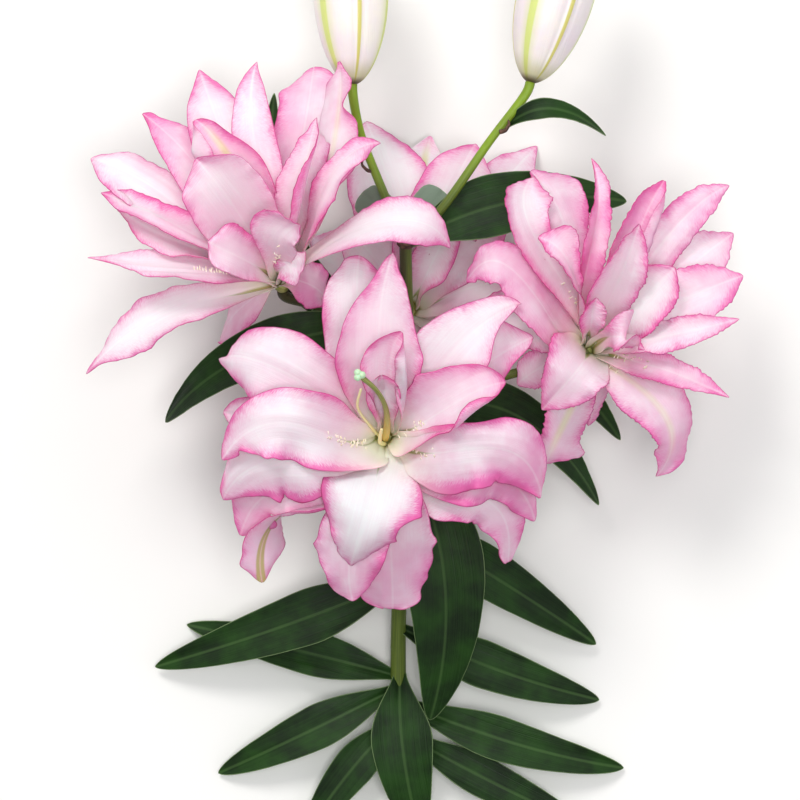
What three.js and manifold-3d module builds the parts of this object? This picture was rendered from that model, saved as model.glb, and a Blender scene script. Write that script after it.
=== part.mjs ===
// A cut flowering stem of a double oriental lily, laid on a surface with its front up.
// Units are millimetres and +Z is up. The stem lies along +Y, from its cut end to the buds, and it rises on
// the way, because the rear bloom props it. The origin is the small flat spot under the cut end.

import * as THREE from "three";
import { mergeVertices } from "three/addons/utils/BufferGeometryUtils.js";
import Module from "manifold-3d";

const wasm = await Module();
wasm.setup();

// Driving dimensions
const PETAL_THICKNESS = 0.9;
const LEAF_THICKNESS = 0.9;
const STEM_RADIUS = [4.8, 4.6, 4.2, 3.9, 3.6, 3.4]; // from the cut end to the top
const BLOOM_STALK_RADIUS = [2.6, 2.3, 2.6];
const BUD_STALK_RADIUS = [2.4, 2.1, 2.0, 2.6];
const SEAT_GAP = 0.3; // between a stalk and the bloom or bud that it carries
const STALK_END_LENGTH = 4; // the straight end of a stalk
const PISTIL_ROOM = 0.45; // round the pistil and the filaments, where petals stand close
const RECEPTACLE_DEPTH = 12;
const RECEPTACLE_RADIUS = 6.5;
const PETAL_ROOT_RADIUS = 3.6;
const PETAL_ROOT_DEPTH = 5; // below the bloom's centre, for the outermost petal
const PETAL_ROOT_RISE = 4; // from the outermost petal's root to the innermost one's
const PETAL_CLAW = 0.14; // the width at the root, as a share of the greatest width
const MARGIN_WAVES = 2.2; // along a petal
const LEAF_OUTLINE = { claw: 0.2, peak: 0.42, fullness: 1.3 };
const BUD_LENGTH = 112;
const BUD_RADIUS = 20.5;
const BUD_BASE_RADIUS = 3.4;
const BUD_TAPER = 0.6; // below 1 the bud stays full towards its ends
const LOBE_RELIEF = 0.05; // how far a bud's three sepals stand out, as a share of its radius

// Steps of the faceted solids
const PETAL_ROWS = 5;
const PETAL_COLUMNS = 4;
const NARROW_PETAL_WIDTH = 32; // petals up to this width have half as many columns
const LEAF_ROWS = 6;
const LEAF_COLUMNS = 2;
const STEM_SIDES = 8;
const STALK_SIDES = 6;
const STYLE_SIDES = 6;
const STEM_SEGMENTS = 13;
const BLOOM_STALK_SEGMENTS = 8;
const BUD_STALK_SEGMENTS = 8;
const STYLE_SEGMENTS = 7;
const BUD_SIDES = 15;
const BUD_RINGS = 11;

// The main stem's centre line, from the cut end to the node where the two bud stalks leave it
const STEM_LINE = [
  [0, -12, 4.2],
  [0, 25, 4.2],
  [-1, 110, 18],
  [2, 200, 40],
  [4, 270, 60],
  [3, 338, 80],
];

// A bloom's petals, from the outer layer to the inner one. Each row holds the petal's name, then:
// three points of its midrib at equal steps, the last one its tip, measured from the bloom's centre;
// its greatest width; where along it that width lies, and how full its outline stays from there to the tip;
// how much it is cupped at the root and at the tip, in radians, where negative is rolled back;
// the height of the waves of its margin; and, on a petal that is turned about its midrib, that turn at the
// root and at the tip, in degrees.
const FRONT_PETALS = [
  ["left_sepal", [[-30, 6, 6], [-60, 10, 8], [-89, 14, 0]], 32, [0.55, 1.6], [0.4, -0.3], 1],
  ["twisted_sepal", [[-30, -26, 2], [-60, -46, 0], [-68, -80, -10]], 32, [0.66, 1.6], [0.4, 0.2], 1, [0, 150]],
  ["bottom_right_sepal", [[1, -30, 8], [3, -62, 4], [4, -95, -14]], 46, [0.6, 3.0], [0.4, -0.3], 2],
  ["right_low_sepal", [[30, -24, 8], [58, -36, 12], [68, -69, -10]], 34, [0.5, 1.6], [0.4, -0.3], 2],
  ["right_high_sepal", [[22, 16, 4], [50, 37, 10], [81, 55, 4]], 34, [0.56, 1.8], [0.4, -0.2], 1],
  ["top_left_sepal", [[-10, 30, 6], [-15, 66, 16], [-14, 99, 22]], 40, [0.55, 2.6], [0.5, -0.1], 1],
  ["left_low_back_petal", [[-28, -22, 14], [-58, -28, 16], [-80, -54, -4]], 34, [0.55, 1.8], [0.4, -0.5], 2],
  ["right_low_back_petal", [[30, -18, 18], [60, -20, 22], [82, -46, 2]], 36, [0.5, 1.8], [0.4, -0.5], 2],
  ["bottom_petal", [[-8, -30, 18], [-18, -60, 18], [-18, -90, 2]], 39, [0.6, 2.2], [0.4, -0.4], 2],
  ["left_low_petal", [[-30, -12, 24], [-62, -13, 28], [-89, -34, 8]], 43, [0.55, 2.2], [0.4, -0.7], 2],
  ["right_low_petal", [[30, -8, 28], [63, -6, 34], [85, -33, 12]], 43, [0.5, 2.6], [0.4, -0.6], 3],
  ["right_high_petal", [[20, 25, 18], [43, 53, 26], [74, 73, 16]], 42, [0.6, 2.0], [0.5, -0.2], 2],
  ["left_high_petal", [[-30, 20, 18], [-62, 39, 26], [-91, 43, 12]], 46, [0.6, 1.5], [0.4, -0.4], 2],
  ["top_petal", [[-3, 30, 20], [-3, 64, 34], [4, 100, 38]], 49, [0.48, 1.1], [0.6, 0.2], 1],
  ["left_petal", [[-27, 0, 26], [-57, 8, 38], [-89, -12, 22]], 43, [0.5, 1.6], [0.5, -0.3], 3],
  ["bottom_inner_petal", [[-5, -22, 32], [-11, -44, 36], [-19, -70, 14]], 56, [0.46, 1.5], [0.3, -0.7], 2],
  ["right_inner_petal", [[20, 8, 20], [43, 22, 32], [65, 30, 38]], 44, [0.5, 1.6], [0.9, 0.8], 1, [-20, -20]],
  ["centre_petaloid", [[4, 20, 22], [3, 40, 38], [9, 57, 50]], 28, [0.55, 1.8], [1.2, 1.0], 1],
  ["heart_petaloid", [[0, 13, 12], [-1, 24, 20], [-2, 34, 26]], 19, [0.55, 1.8], [0.8, 0.5], 1],
];
const FRONT_BLOOM = { centre: [-8, 227, 105], axis: [0, -0.1, 1], petals: FRONT_PETALS };

const LEFT_PETALS = [
  ["low_left_sepal", [[-33, -13, 16], [-68, -25, 20], [-106, -55, 8]], 36, [0.6, 1.5], [0.4, -0.3], 2],
  ["back_sepal", [[-10, -9, -14], [-25, -21, -36], [-35, -37, -54]], 36, [0.6, 1.8], [0.4, -0.4], 2, [-20, -20]],
  ["low_right_sepal", [[10, -3, 2], [20, -8, -4], [28, -15, -14]], 32, [0.55, 2.0], [0.4, -0.4], 2],
  ["right_arching_sepal", [[30, 16, 34], [66, 28, 48], [94, 13, 34]], 37, [0.6, 2.0], [0.4, -0.3], 0],
  ["high_left_petal", [[-24, 31, 8], [-47, 62, 4], [-76, 89, -12]], 36, [0.55, 1.2], [0.4, -0.1], 1],
  ["top_left_petal", [[-16, 38, 8], [-31, 76, 2], [-45, 114, -18]], 38, [0.6, 1.6], [0.4, -0.2], 1],
  ["top_petal", [[6, 36, 6], [13, 78, 2], [19, 115, -14]], 36, [0.6, 2.4], [0.4, -0.2], 1],
  ["top_right_petal", [[20, 36, 12], [31, 74, 12], [33, 117, 4]], 34, [0.6, 1.6], [0.5, -0.2], 3],
  ["left_petal", [[-33, 20, 12], [-70, 47, 14], [-104, 64, -2]], 38, [0.65, 1.8], [0.4, -0.3], 1],
  ["left_frilled_petal", [[-30, 8, 18], [-62, 20, 20], [-90, 38, 8]], 30, [0.6, 1.4], [0.4, 0.1], 3],
  ["folded_petal", [[-30, 12, 24], [-64, 30, 28], [-97, 44, 18]], 28, [0.6, 1.5], [0.7, 0.4], 1, [-10, -10]],
  ["left_flat_petal", [[-30, 0, 26], [-65, 3, 34], [-103, 8, 36]], 34, [0.5, 1.2], [0.3, 0.2], 1],
  ["top_inner_petal", [[-6, 38, 14], [-14, 80, 20], [-12, 116, 12]], 26, [0.55, 1.3], [0.5, 0.1], 1],
  ["reflexed_petal", [[17, 22, 22], [31, 54, 40], [56, 70, 38]], 26, [0.62, 1.4], [0.5, 0.2], 2, [0, 20]],
  ["hooded_petal", [[-10, 28, 18], [-25, 60, 34], [-45, 83, 34]], 35, [0.62, 2.2], [0.7, 0.7], 1, [-20, -20]],
  ["right_inner_petal", [[7, 26, 24], [14, 56, 36], [21, 84, 34]], 26, [0.55, 1.4], [0.9, 0.7], 1, [30, 30]],
  ["broad_petaloid", [[-12, 17, 28], [-27, 40, 46], [-44, 61, 52]], 46, [0.7, 3.0], [0.4, 0.3], 1, [-80, -80]],
  ["left_petaloid", [[-13, 6, 22], [-26, 13, 36], [-37, 20, 44]], 30, [0.62, 2.6], [0.5, 0.3], 1, [-80, -80]],
  ["right_petaloid", [[-1, 10, 26], [0, 22, 44], [-1, 32, 56]], 30, [0.6, 2.4], [0.6, 0.3], 1],
  ["small_petaloid", [[2, -1, 14], [5, -3, 24], [6, -6, 34]], 16, [0.6, 1.8], [0.7, 0.3], 1],
];
const LEFT_BLOOM = { centre: [-66.5, 317, 95], axis: [-0.15, 0.72, 0.68], petals: LEFT_PETALS };

const RIGHT_PETALS = [
  ["bottom_back_sepal", [[0, -14, 0], [1, -29, -6], [-2, -45, -16]], 18, [0.6, 2.2], [0.4, -0.2], 0],
  ["bottom_sepal", [[-5, -18, 4], [-16, -42, 2], [-26, -66, -12]], 25, [0.72, 2.4], [0.4, -0.3], 1],
  ["low_left_sepal", [[-12, -4, 2], [-28, -12, 2], [-42, -22, -8]], 22, [0.6, 2.2], [0.5, 0.3], 2],
  ["left_back_sepal", [[-20, 6, 6], [-42, 16, 6], [-62, 24, -8]], 34, [0.6, 2.0], [0.4, -0.4], 1],
  ["right_low_sepal", [[18, -13, 0], [36, -25, -4], [50, -41, -18]], 24, [0.55, 1.8], [0.4, -0.4], 2],
  ["right_back_sepal", [[24, 20, 8], [51, 42, 8], [78, 62, -6]], 34, [0.6, 1.8], [0.4, -0.3], 1],
  ["top_right_sepal", [[20, 32, 12], [46, 66, 14], [75, 88, 4]], 24, [0.6, 1.6], [0.4, -0.2], 1],
  ["top_left_sepal", [[-10, 30, 12], [-17, 66, 16], [-35, 96, 8]], 27, [0.64, 2.6], [0.4, 0.2], 1],
  ["right_petal", [[22, 11, 16], [52, 26, 20], [82, 38, 12]], 34, [0.6, 1.8], [0.4, -0.2], 2],
  ["low_right_petal", [[17, -18, 16], [40, -41, 16], [35, -73, -2]], 32, [0.42, 2.0], [0.4, -0.4], 3],
  ["top_right_petal", [[10, 29, 18], [23, 61, 26], [38, 90, 20]], 28, [0.6, 1.6], [0.9, 0.8], 1],
  ["left_petal", [[-23, 12, 20], [-46, 41, 30], [-71, 35, 20]], 33, [0.46, 2.4], [0.3, -0.3], 2],
  ["high_left_petal", [[-13, 28, 16], [-35, 62, 26], [-34, 92, 18]], 30, [0.68, 2.2], [0.6, 0.5], 1],
  ["right_flat_petal", [[22, -9, 18], [47, -17, 20], [74, -29, 16]], 17, [0.4, 1.2], [0.4, 0.2], 1],
  ["right_mid_petal", [[20, 1, 20], [46, 6, 26], [79, 14, 22]], 20, [0.55, 1.8], [0.5, 0.2], 2],
  ["top_narrow_petal", [[-6, 33, 22], [1, 67, 32], [-2, 102, 24]], 17, [0.6, 1.4], [1.0, 0.8], 1],
  ["low_left_petal", [[-6, -9, 22], [-15, -20, 28], [-29, -36, 18]], 42, [0.42, 1.3], [0.3, -0.3], 1],
  ["right_inner_petal", [[14, 12, 24], [29, 27, 36], [43, 42, 40]], 32, [0.58, 2.4], [0.6, 0.3], 1],
  ["top_inner_petal", [[6, 20, 26], [15, 43, 40], [23, 65, 48]], 26, [0.55, 1.5], [0.7, 0.5], 1],
  ["left_inner_petal", [[-6, 22, 26], [-10, 46, 38], [-32, 58, 42]], 24, [0.7, 2.0], [0.6, 0.4], 1, [70, 0]],
  ["heart_petaloid", [[-1, 10, 22], [0, 17, 32], [1, 23, 38]], 17, [0.6, 2.0], [0.8, 0.5], 1],
  ["right_small_petaloid", [[8, 9, 22], [15, 5, 28], [21, -5, 30]], 17, [0.5, 1.4], [0.7, 0.3], 1],
];
const RIGHT_BLOOM = { centre: [107, 278, 85], axis: [0.3, 0.25, 0.92], petals: RIGHT_PETALS };

const REAR_PETALS = [
  ["top_back_petal", [[3, 34, -6], [6, 68, -10], [13, 97, -18]], 28, [0.6, 1.3], [0.4, 0.2], 0],
  ["left_high_sepal", [[-18, 13, 0], [-38, 27, -10], [-56, 41, -41]], 38, [0.55, 1.8], [0.4, -0.3], 1],
  ["bottom_left_sepal", [[-13, -15, 0], [-26, -36, -12], [-37, -62, -41]], 34, [0.6, 1.8], [0.4, -0.4], 0],
  ["bottom_right_sepal", [[15, -17, 0], [28, -40, -12], [38, -70, -41]], 34, [0.6, 1.8], [0.4, -0.4], 0],
  ["right_low_sepal", [[22, -11, 0], [43, -26, -12], [55, -52, -41]], 32, [0.55, 1.8], [0.4, -0.4], 1],
  ["right_high_sepal", [[22, 30, -2], [46, 62, -10], [73, 93, -41]], 36, [0.6, 1.5], [0.4, -0.2], 1],
  ["top_left_sepal", [[-4, 31, 4], [-11, 67, 2], [-25, 107, -41]], 48, [0.6, 2.2], [0.4, -0.2], 1],
  ["right_petal", [[22, 6, 10], [42, 12, 14], [62, 12, 4]], 34, [0.55, 2.0], [0.4, -0.2], 2],
  ["right_high_petal", [[14, 20, 10], [32, 42, 14], [50, 62, 6]], 42, [0.55, 2.0], [0.4, -0.1], 2],
  ["top_right_petal", [[10, 30, 10], [22, 62, 12], [37, 92, 0]], 50, [0.6, 2.6], [0.4, 0], 1],
  ["left_inner_petal", [[-10, 14, 13], [-22, 30, 17], [-34, 42, 10]], 34, [0.55, 2.0], [0.5, 0.1], 2],
  ["right_inner_petal", [[7, 13, 13], [16, 31, 18], [24, 50, 16]], 26, [0.55, 1.8], [0.8, 0.5], 2],
  ["top_inner_petal", [[1, 18, 13], [2, 36, 16], [4, 54, 12]], 26, [0.55, 1.8], [0.8, 0.5], 1],
];
const REAR_BLOOM = { centre: [5.5, 300, 42], axis: [0.1, 0.3, 0.95], petals: REAR_PETALS };

// The leaves: name, three points of the midrib, from the root on the stem or a stalk to the tip, and width
const LEAVES = [
  ["left_high_leaf", [[2, 289, 65], [-78, 275, 83], [-132, 235, 46]], 30],
  ["stalk_bract", [[-43, 302, 79], [-46, 286, 78], [-51, 266, 66]], 16],
  ["right_high_leaf", [[3, 334, 79], [62, 357, 86], [126, 358, 74]], 36],
  ["bud_bract", [[55, 396, 89], [83, 408, 98], [114, 394, 84]], 12],
  ["top_left_bract", [[1, 338, 78], [-10, 352, 74], [-22, 362, 67]], 20],
  ["top_right_bract", [[4, 338, 78], [14, 353, 74], [24, 364, 67]], 20],
  ["right_mid_leaf", [[3, 240, 50], [63, 240, 46], [113, 188, 22]], 30],
  ["right_stalk_leaf", [[80, 270, 70], [104, 250, 62], [124, 225, 46]], 15],
  ["front_leaf", [[2, 222, 46], [25, 146, 52], [17, 66, 26]], 48],
  ["right_low_leaf", [[1, 178, 36], [54, 147, 36], [112, 108, 8]], 30],
  ["left_mid_leaf", [[1, 146, 27], [-62, 121, 32], [-140, 95, 6]], 32],
  ["left_low_leaf", [[0, 90, 15], [-58, 105, 16], [-122, 119, 3]], 26],
  ["right_band_leaf", [[1, 118, 21], [56, 94, 22], [114, 76, 4]], 28],
  ["left_base_leaf", [[-1, 84, 14], [-54, 58, 18], [-104, 34, 3]], 26],
  ["left_foot_leaf", [[0, 66, 11], [-30, 34, 14], [-56, -4, 3]], 24],
  ["right_base_leaf", [[0, 76, 13], [66, 52, 20], [128, 37, 3]], 26],
  ["right_foot_leaf", [[0, 58, 10], [56, 28, 14], [110, 2, 3]], 24],
  ["centre_foot_leaf", [[0, 92, 16], [2, 46, 24], [12, -2, 8]], 36],
];

// The buds: the points of the stalk from the main stem on, the stalk's end, and the way that the bud points
const BUDS = {
  left: {
    stalk: [[3, 334, 78], [-9, 362, 82], [-22, 396, 80]],
    base: [-26.4, 422, 77],
    axis: [-0.03, 1, 0.02],
  },
  right: {
    stalk: [[3, 334, 78], [22, 352, 88], [50, 391, 92]],
    base: [71.5, 422, 94],
    axis: [0.27, 0.96, 0],
  },
};

// Where each bloom's stalk leaves the main stem, and a point on its way
const BLOOM_STALKS = {
  front: [[2, 200, 42], [-4, 212, 66]],
  left: [[3, 270, 60], [-26, 287, 72], [-48, 300, 79]],
  right: [[3, 244, 53], [35, 254, 58], [66, 263, 62], [90, 269, 63]],
  rear: [[2, 246, 52], [3, 272, 30], [5, 288, 22]],
};

// The front bloom's pistil and filaments: the line of each from the bloom's centre, and its radius at each
// point
const PISTIL = {
  line: [[0, 0, 0], [1, 7, 14], [0, 17, 28], [-5, 26, 39], [-14, 34, 47]],
  radius: [2.6, 2.6, 1.7, 1.5, 2.0],
};
const LONG_FILAMENT = {
  line: [[-3.4, 1, 0], [-8, 6, 14], [-15, 17, 28], [-13, 27, 36]],
  radius: [1.0, 0.9, 0.8, 0.7],
};
const SHORT_FILAMENT = {
  line: [[-0.5, -3.6, 0], [-3, -2, 10], [-2, 5, 20]],
  radius: [1.1, 1.2, 0.8],
};
const STIGMA_LOBE_RADIUS = 2.4;
const STIGMA_LOBE_OFFSET = 1.5;

// Materials
const PETAL = new THREE.MeshStandardMaterial({ color: 0xf6cfe0, roughness: 0.5, metalness: 0 });
const BUD_SKIN = new THREE.MeshStandardMaterial({ color: 0xeee9d8, roughness: 0.45, metalness: 0 });
const GREEN = new THREE.MeshStandardMaterial({ color: 0x2f5a2a, roughness: 0.45, metalness: 0 });
const PISTIL_GREEN = new THREE.MeshStandardMaterial({ color: 0xa9b45a, roughness: 0.4, metalness: 0 });
const FILAMENT_CREAM = new THREE.MeshStandardMaterial({ color: 0xf0ebc8, roughness: 0.5, metalness: 0 });

const vector = (point) => new THREE.Vector3(...point);

// A closed geometry as a manifold-3d solid: shared vertices are merged and collapsed triangles are dropped
function solidOf(geometry) {
  const bare = geometry.clone();
  for (const name of Object.keys(bare.attributes)) {
    if (name !== "position") bare.deleteAttribute(name);
  }
  const merged = mergeVertices(bare, 1e-4);
  const kept = [];
  for (let i = 0; i < merged.index.count; i += 3) {
    const [a, b, c] = [0, 1, 2].map((k) => merged.index.getX(i + k));
    if (a !== b && b !== c && a !== c) kept.push(a, b, c);
  }
  return new wasm.Manifold(
    new wasm.Mesh({
      numProp: 3,
      vertProperties: new Float32Array(merged.attributes.position.array),
      triVerts: new Uint32Array(kept),
    }),
  );
}

// A named mesh of a finished solid
function meshOf(name, solid, material) {
  const { numProp, vertProperties, triVerts } = solid.getMesh();
  const positions = new Float32Array((vertProperties.length / numProp) * 3);
  for (let i = 0; i < positions.length / 3; i++) {
    positions.set(vertProperties.subarray(i * numProp, i * numProp + 3), i * 3);
  }
  const geometry = new THREE.BufferGeometry()
    .setAttribute("position", new THREE.BufferAttribute(positions, 3))
    .setIndex(new THREE.BufferAttribute(new Uint32Array(triVerts), 1));
  geometry.computeVertexNormals();
  const mesh = new THREE.Mesh(geometry, material);
  mesh.name = name;
  return mesh;
}

const joined = (solids) => solids.reduce((whole, solid) => whole.add(solid));

// The largest body of a solid, without the loose scraps that a cut can leave
function largestBody(solid) {
  return solid.decompose().reduce((best, body) => (body.volume() > best.volume() ? body : best));
}

// The point at t of the smooth line that passes its points at equal steps of t
function along(points, t) {
  const last = points.length - 1;
  const out = new THREE.Vector3();
  points.forEach((point, i) => {
    let share = 1;
    points.forEach((_, j) => {
      if (j !== i) share *= (t * last - j) / (i - j);
    });
    out.addScaledVector(point, share);
  });
  return out;
}

// The half width of a blade at t, as a share of its widest
function outlineShare(t, { claw, peak, fullness }) {
  if (t < peak) return claw + (1 - claw) * Math.sin((Math.PI / 2) * (t / peak)) ** 1.4;
  const past = (t - peak) / (1 - peak);
  return Math.max(0.03, (1 - past ** fullness) ** 0.6);
}

// A closed blade, for a petal or a leaf. Its midrib passes the given points, and its section is an arc that
// is cupped towards the side that faces axis. Both faces are split into triangles alike.
function blade({ midrib, axis, width, outline, cup, roll, wave, phase, thickness, rows, columns }) {
  const up = axis.clone().normalize();
  const out = midrib[1].clone().sub(midrib[0]);
  out.addScaledVector(up, -out.dot(up)).normalize();
  const middle = [];
  for (let i = 0; i <= rows; i++) {
    const t = i / rows;
    const place = along(midrib, t);
    const ahead = along(midrib, t + 0.01).sub(along(midrib, t - 0.01)).normalize();
    let facing = up.clone().multiplyScalar(ahead.dot(out)).addScaledVector(out, -ahead.dot(up));
    facing.addScaledVector(ahead, -facing.dot(ahead)).normalize();
    let aside = ahead.clone().cross(facing);
    const turn = THREE.MathUtils.degToRad(THREE.MathUtils.lerp(roll[0], roll[1], t));
    [facing, aside] = [
      facing.clone().multiplyScalar(Math.cos(turn)).addScaledVector(aside, Math.sin(turn)),
      aside.clone().multiplyScalar(Math.cos(turn)).addScaledVector(facing, -Math.sin(turn)),
    ];
    const half = (width / 2) * outlineShare(t, outline);
    const bend = THREE.MathUtils.lerp(cup[0], cup[1], t) || 1e-3;
    const ripple = wave * THREE.MathUtils.smoothstep(t, 0.2, 0.55);
    const row = [];
    for (let j = 0; j <= columns; j++) {
      const v = (2 * j) / columns - 1;
      const crest = Math.sin(2 * Math.PI * MARGIN_WAVES * t + phase + (v > 0 ? 0 : 2.1));
      const rise = (half * (1 - Math.cos(bend * v))) / bend + ripple * Math.abs(v) ** 2.2 * crest;
      const across = (half * Math.sin(bend * v)) / bend;
      row.push(place.clone().addScaledVector(aside, across).addScaledVector(facing, rise));
    }
    middle.push(row);
  }

  const positions = [];
  for (const side of [1, -1]) {
    middle.forEach((row, i) => {
      row.forEach((place, j) => {
        const before = middle[Math.max(i - 1, 0)][j];
        const after = middle[Math.min(i + 1, rows)][j];
        const left = row[Math.max(j - 1, 0)];
        const right = row[Math.min(j + 1, columns)];
        const normal = right.clone().sub(left).cross(after.clone().sub(before)).normalize();
        positions.push(...place.clone().addScaledVector(normal, (side * thickness) / 2));
      });
    });
  }
  const front = (i, j) => i * (columns + 1) + j;
  const back = (i, j) => front(i, j) + (rows + 1) * (columns + 1);
  const faces = [];
  for (let i = 0; i < rows; i++) {
    for (let j = 0; j < columns; j++) {
      const corners = [[i, j], [i, j + 1], [i + 1, j + 1], [i + 1, j]];
      const [a, b, c, d] = corners.map((corner) => front(...corner));
      faces.push(a, b, c, a, c, d);
      const [e, f, g, h] = corners.map((corner) => back(...corner));
      faces.push(e, g, f, e, h, g);
    }
  }
  const rim = [];
  for (let j = 0; j < columns; j++) rim.push([0, j]);
  for (let i = 0; i < rows; i++) rim.push([i, columns]);
  for (let j = columns; j > 0; j--) rim.push([rows, j]);
  for (let i = rows; i > 0; i--) rim.push([i, 0]);
  rim.forEach((here, k) => {
    const next = rim[(k + 1) % rim.length];
    faces.push(front(...next), front(...here), back(...here));
    faces.push(front(...next), back(...here), back(...next));
  });
  const geometry = new THREE.BufferGeometry()
    .setAttribute("position", new THREE.Float32BufferAttribute(positions, 3))
    .setIndex(faces);
  return solidOf(geometry);
}

// A closed tube whose radius changes along its line: a cylinder that is bent onto the line
function taperedTube(points, radii, sides, segments) {
  const line = new THREE.CatmullRomCurve3(points);
  const { normals, binormals } = line.computeFrenetFrames(segments, false);
  const geometry = new THREE.CylinderGeometry(1, 1, 1, sides, segments);
  const position = geometry.attributes.position;
  for (let i = 0; i < position.count; i++) {
    const step = Math.round((position.getY(i) + 0.5) * segments);
    const t = step / segments;
    const slot = Math.min(Math.floor(t * (radii.length - 1)), radii.length - 2);
    const radius = THREE.MathUtils.lerp(radii[slot], radii[slot + 1], t * (radii.length - 1) - slot);
    const place = line
      .getPointAt(t)
      .addScaledVector(normals[step], position.getX(i) * radius)
      .addScaledVector(binormals[step], -position.getZ(i) * radius);
    position.setXYZ(i, ...place);
  }
  return solidOf(geometry);
}

// A geometry that was made round +Y, stood at a place along an axis
function stoodAlong(geometry, place, axis) {
  const upright = new THREE.Vector3(0, 1, 0);
  const turn = new THREE.Quaternion().setFromUnitVectors(upright, axis.clone().normalize());
  return geometry.applyQuaternion(turn).translate(...place);
}

// The short cone under a bloom that its petals grow from, with a flat top at the bloom's centre
function receptacle(centre, axis) {
  const r = RECEPTACLE_RADIUS;
  const profile = [
    [0, -RECEPTACLE_DEPTH],
    [0.45 * r, -RECEPTACLE_DEPTH],
    [r, -0.35 * RECEPTACLE_DEPTH],
    [0.92 * r, -0.5],
    [0, 0],
  ].map(([x, y]) => new THREE.Vector2(x, y));
  return solidOf(stoodAlong(new THREE.LatheGeometry(profile, 10), centre, axis));
}

// A petal of a bloom. Inner layers leave the receptacle higher up than outer ones.
function petal([, midrib, width, [peak, fullness], cup, wave, roll = [0, 0]], layer, bloom) {
  const centre = vector(bloom.centre);
  const axis = vector(bloom.axis).normalize();
  const rootHeight = PETAL_ROOT_RISE * layer - PETAL_ROOT_DEPTH;
  const outward = vector(midrib[0]);
  outward.addScaledVector(axis, -outward.dot(axis)).normalize();
  const root = outward.multiplyScalar(PETAL_ROOT_RADIUS).addScaledVector(axis, rootHeight).add(centre);
  return blade({
    midrib: [root, ...midrib.map((place) => vector(place).add(centre))],
    axis,
    width,
    outline: { claw: PETAL_CLAW, peak, fullness },
    cup,
    roll,
    wave,
    phase: 2.4 * width + 7 * layer,
    thickness: PETAL_THICKNESS,
    rows: PETAL_ROWS,
    columns: width > NARROW_PETAL_WIDTH ? PETAL_COLUMNS : PETAL_COLUMNS / 2,
  });
}

function bloomSolid(bloom) {
  const count = bloom.petals.length;
  const petals = bloom.petals.map((row, i) => petal(row, i / (count - 1), bloom));
  return largestBody(joined([receptacle(vector(bloom.centre), vector(bloom.axis)), ...petals]));
}

function leafSolid([, midrib, width]) {
  return blade({
    midrib: midrib.map(vector),
    axis: new THREE.Vector3(0, 0.15, 1),
    width,
    outline: LEAF_OUTLINE,
    cup: [0.5, 0.2],
    roll: [0, 0],
    wave: 0,
    phase: 0,
    thickness: LEAF_THICKNESS,
    rows: LEAF_ROWS,
    columns: LEAF_COLUMNS,
  });
}

// A stalk that arrives at its end along an axis
function stalkTo(end, axis, points, radii, segments) {
  const before = end.clone().addScaledVector(axis, -STALK_END_LENGTH);
  return taperedTube([...points.map(vector), before, end], radii, STALK_SIDES, segments);
}

// A bloom's stalk ends just short of the receptacle
function bloomStalk(points, bloom) {
  const axis = vector(bloom.axis).normalize();
  const end = vector(bloom.centre).addScaledVector(axis, -RECEPTACLE_DEPTH - SEAT_GAP);
  return stalkTo(end, axis, points, BLOOM_STALK_RADIUS, BLOOM_STALK_SEGMENTS);
}

function budStalk({ stalk, base, axis }) {
  return stalkTo(vector(base), vector(axis).normalize(), stalk, BUD_STALK_RADIUS, BUD_STALK_SEGMENTS);
}

// What the surface cuts off, which leaves the small flat spot under the cut end
function belowSurface() {
  const depth = 50;
  return solidOf(new THREE.BoxGeometry(1000, 1400, depth).translate(0, 0, -depth / 2));
}

function leafyStem() {
  const stem = taperedTube(STEM_LINE.map(vector), STEM_RADIUS, STEM_SIDES, STEM_SEGMENTS);
  const blooms = { front: FRONT_BLOOM, left: LEFT_BLOOM, right: RIGHT_BLOOM, rear: REAR_BLOOM };
  const bloomStalks = Object.entries(BLOOM_STALKS).map(([side, points]) => bloomStalk(points, blooms[side]));
  const budStalks = Object.values(BUDS).map(budStalk);
  const whole = joined([stem, ...bloomStalks, ...budStalks, ...LEAVES.map(leafSolid)]);
  return largestBody(whole.subtract(belowSurface()));
}

// A closed bud: a spindle that is fullest at its middle, with three sepals that stand a little proud of it
function budSolid({ base, axis }) {
  const direction = vector(axis).normalize();
  const profile = [new THREE.Vector2(0, 0), new THREE.Vector2(BUD_BASE_RADIUS, 0)];
  for (let i = 1; i < BUD_RINGS; i++) {
    const t = i / BUD_RINGS;
    profile.push(new THREE.Vector2(BUD_RADIUS * Math.sin(Math.PI * t) ** BUD_TAPER, BUD_LENGTH * t));
  }
  profile.push(new THREE.Vector2(0, BUD_LENGTH));
  const geometry = new THREE.LatheGeometry(profile, BUD_SIDES);
  const position = geometry.attributes.position;
  for (let i = 0; i < position.count; i++) {
    const angle = Math.atan2(position.getX(i), position.getZ(i));
    const lobe = 1 + LOBE_RELIEF * Math.cos(3 * angle);
    position.setX(i, position.getX(i) * lobe);
    position.setZ(i, position.getZ(i) * lobe);
  }
  return solidOf(stoodAlong(geometry, vector(base).addScaledVector(direction, SEAT_GAP), direction));
}

// A tube that stands on the flat top of the front bloom's receptacle. The room that it needs is grown a
// little, and starts at the receptacle.
function stoodOnCentre({ line, radius }, { lift = SEAT_GAP, growth = 0 } = {}) {
  const start = vector(FRONT_BLOOM.centre).addScaledVector(vector(FRONT_BLOOM.axis).normalize(), lift);
  const points = line.map((point) => vector(point).add(start));
  return taperedTube(points, radius.map((r) => r + growth), STYLE_SIDES, STYLE_SEGMENTS);
}

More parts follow.
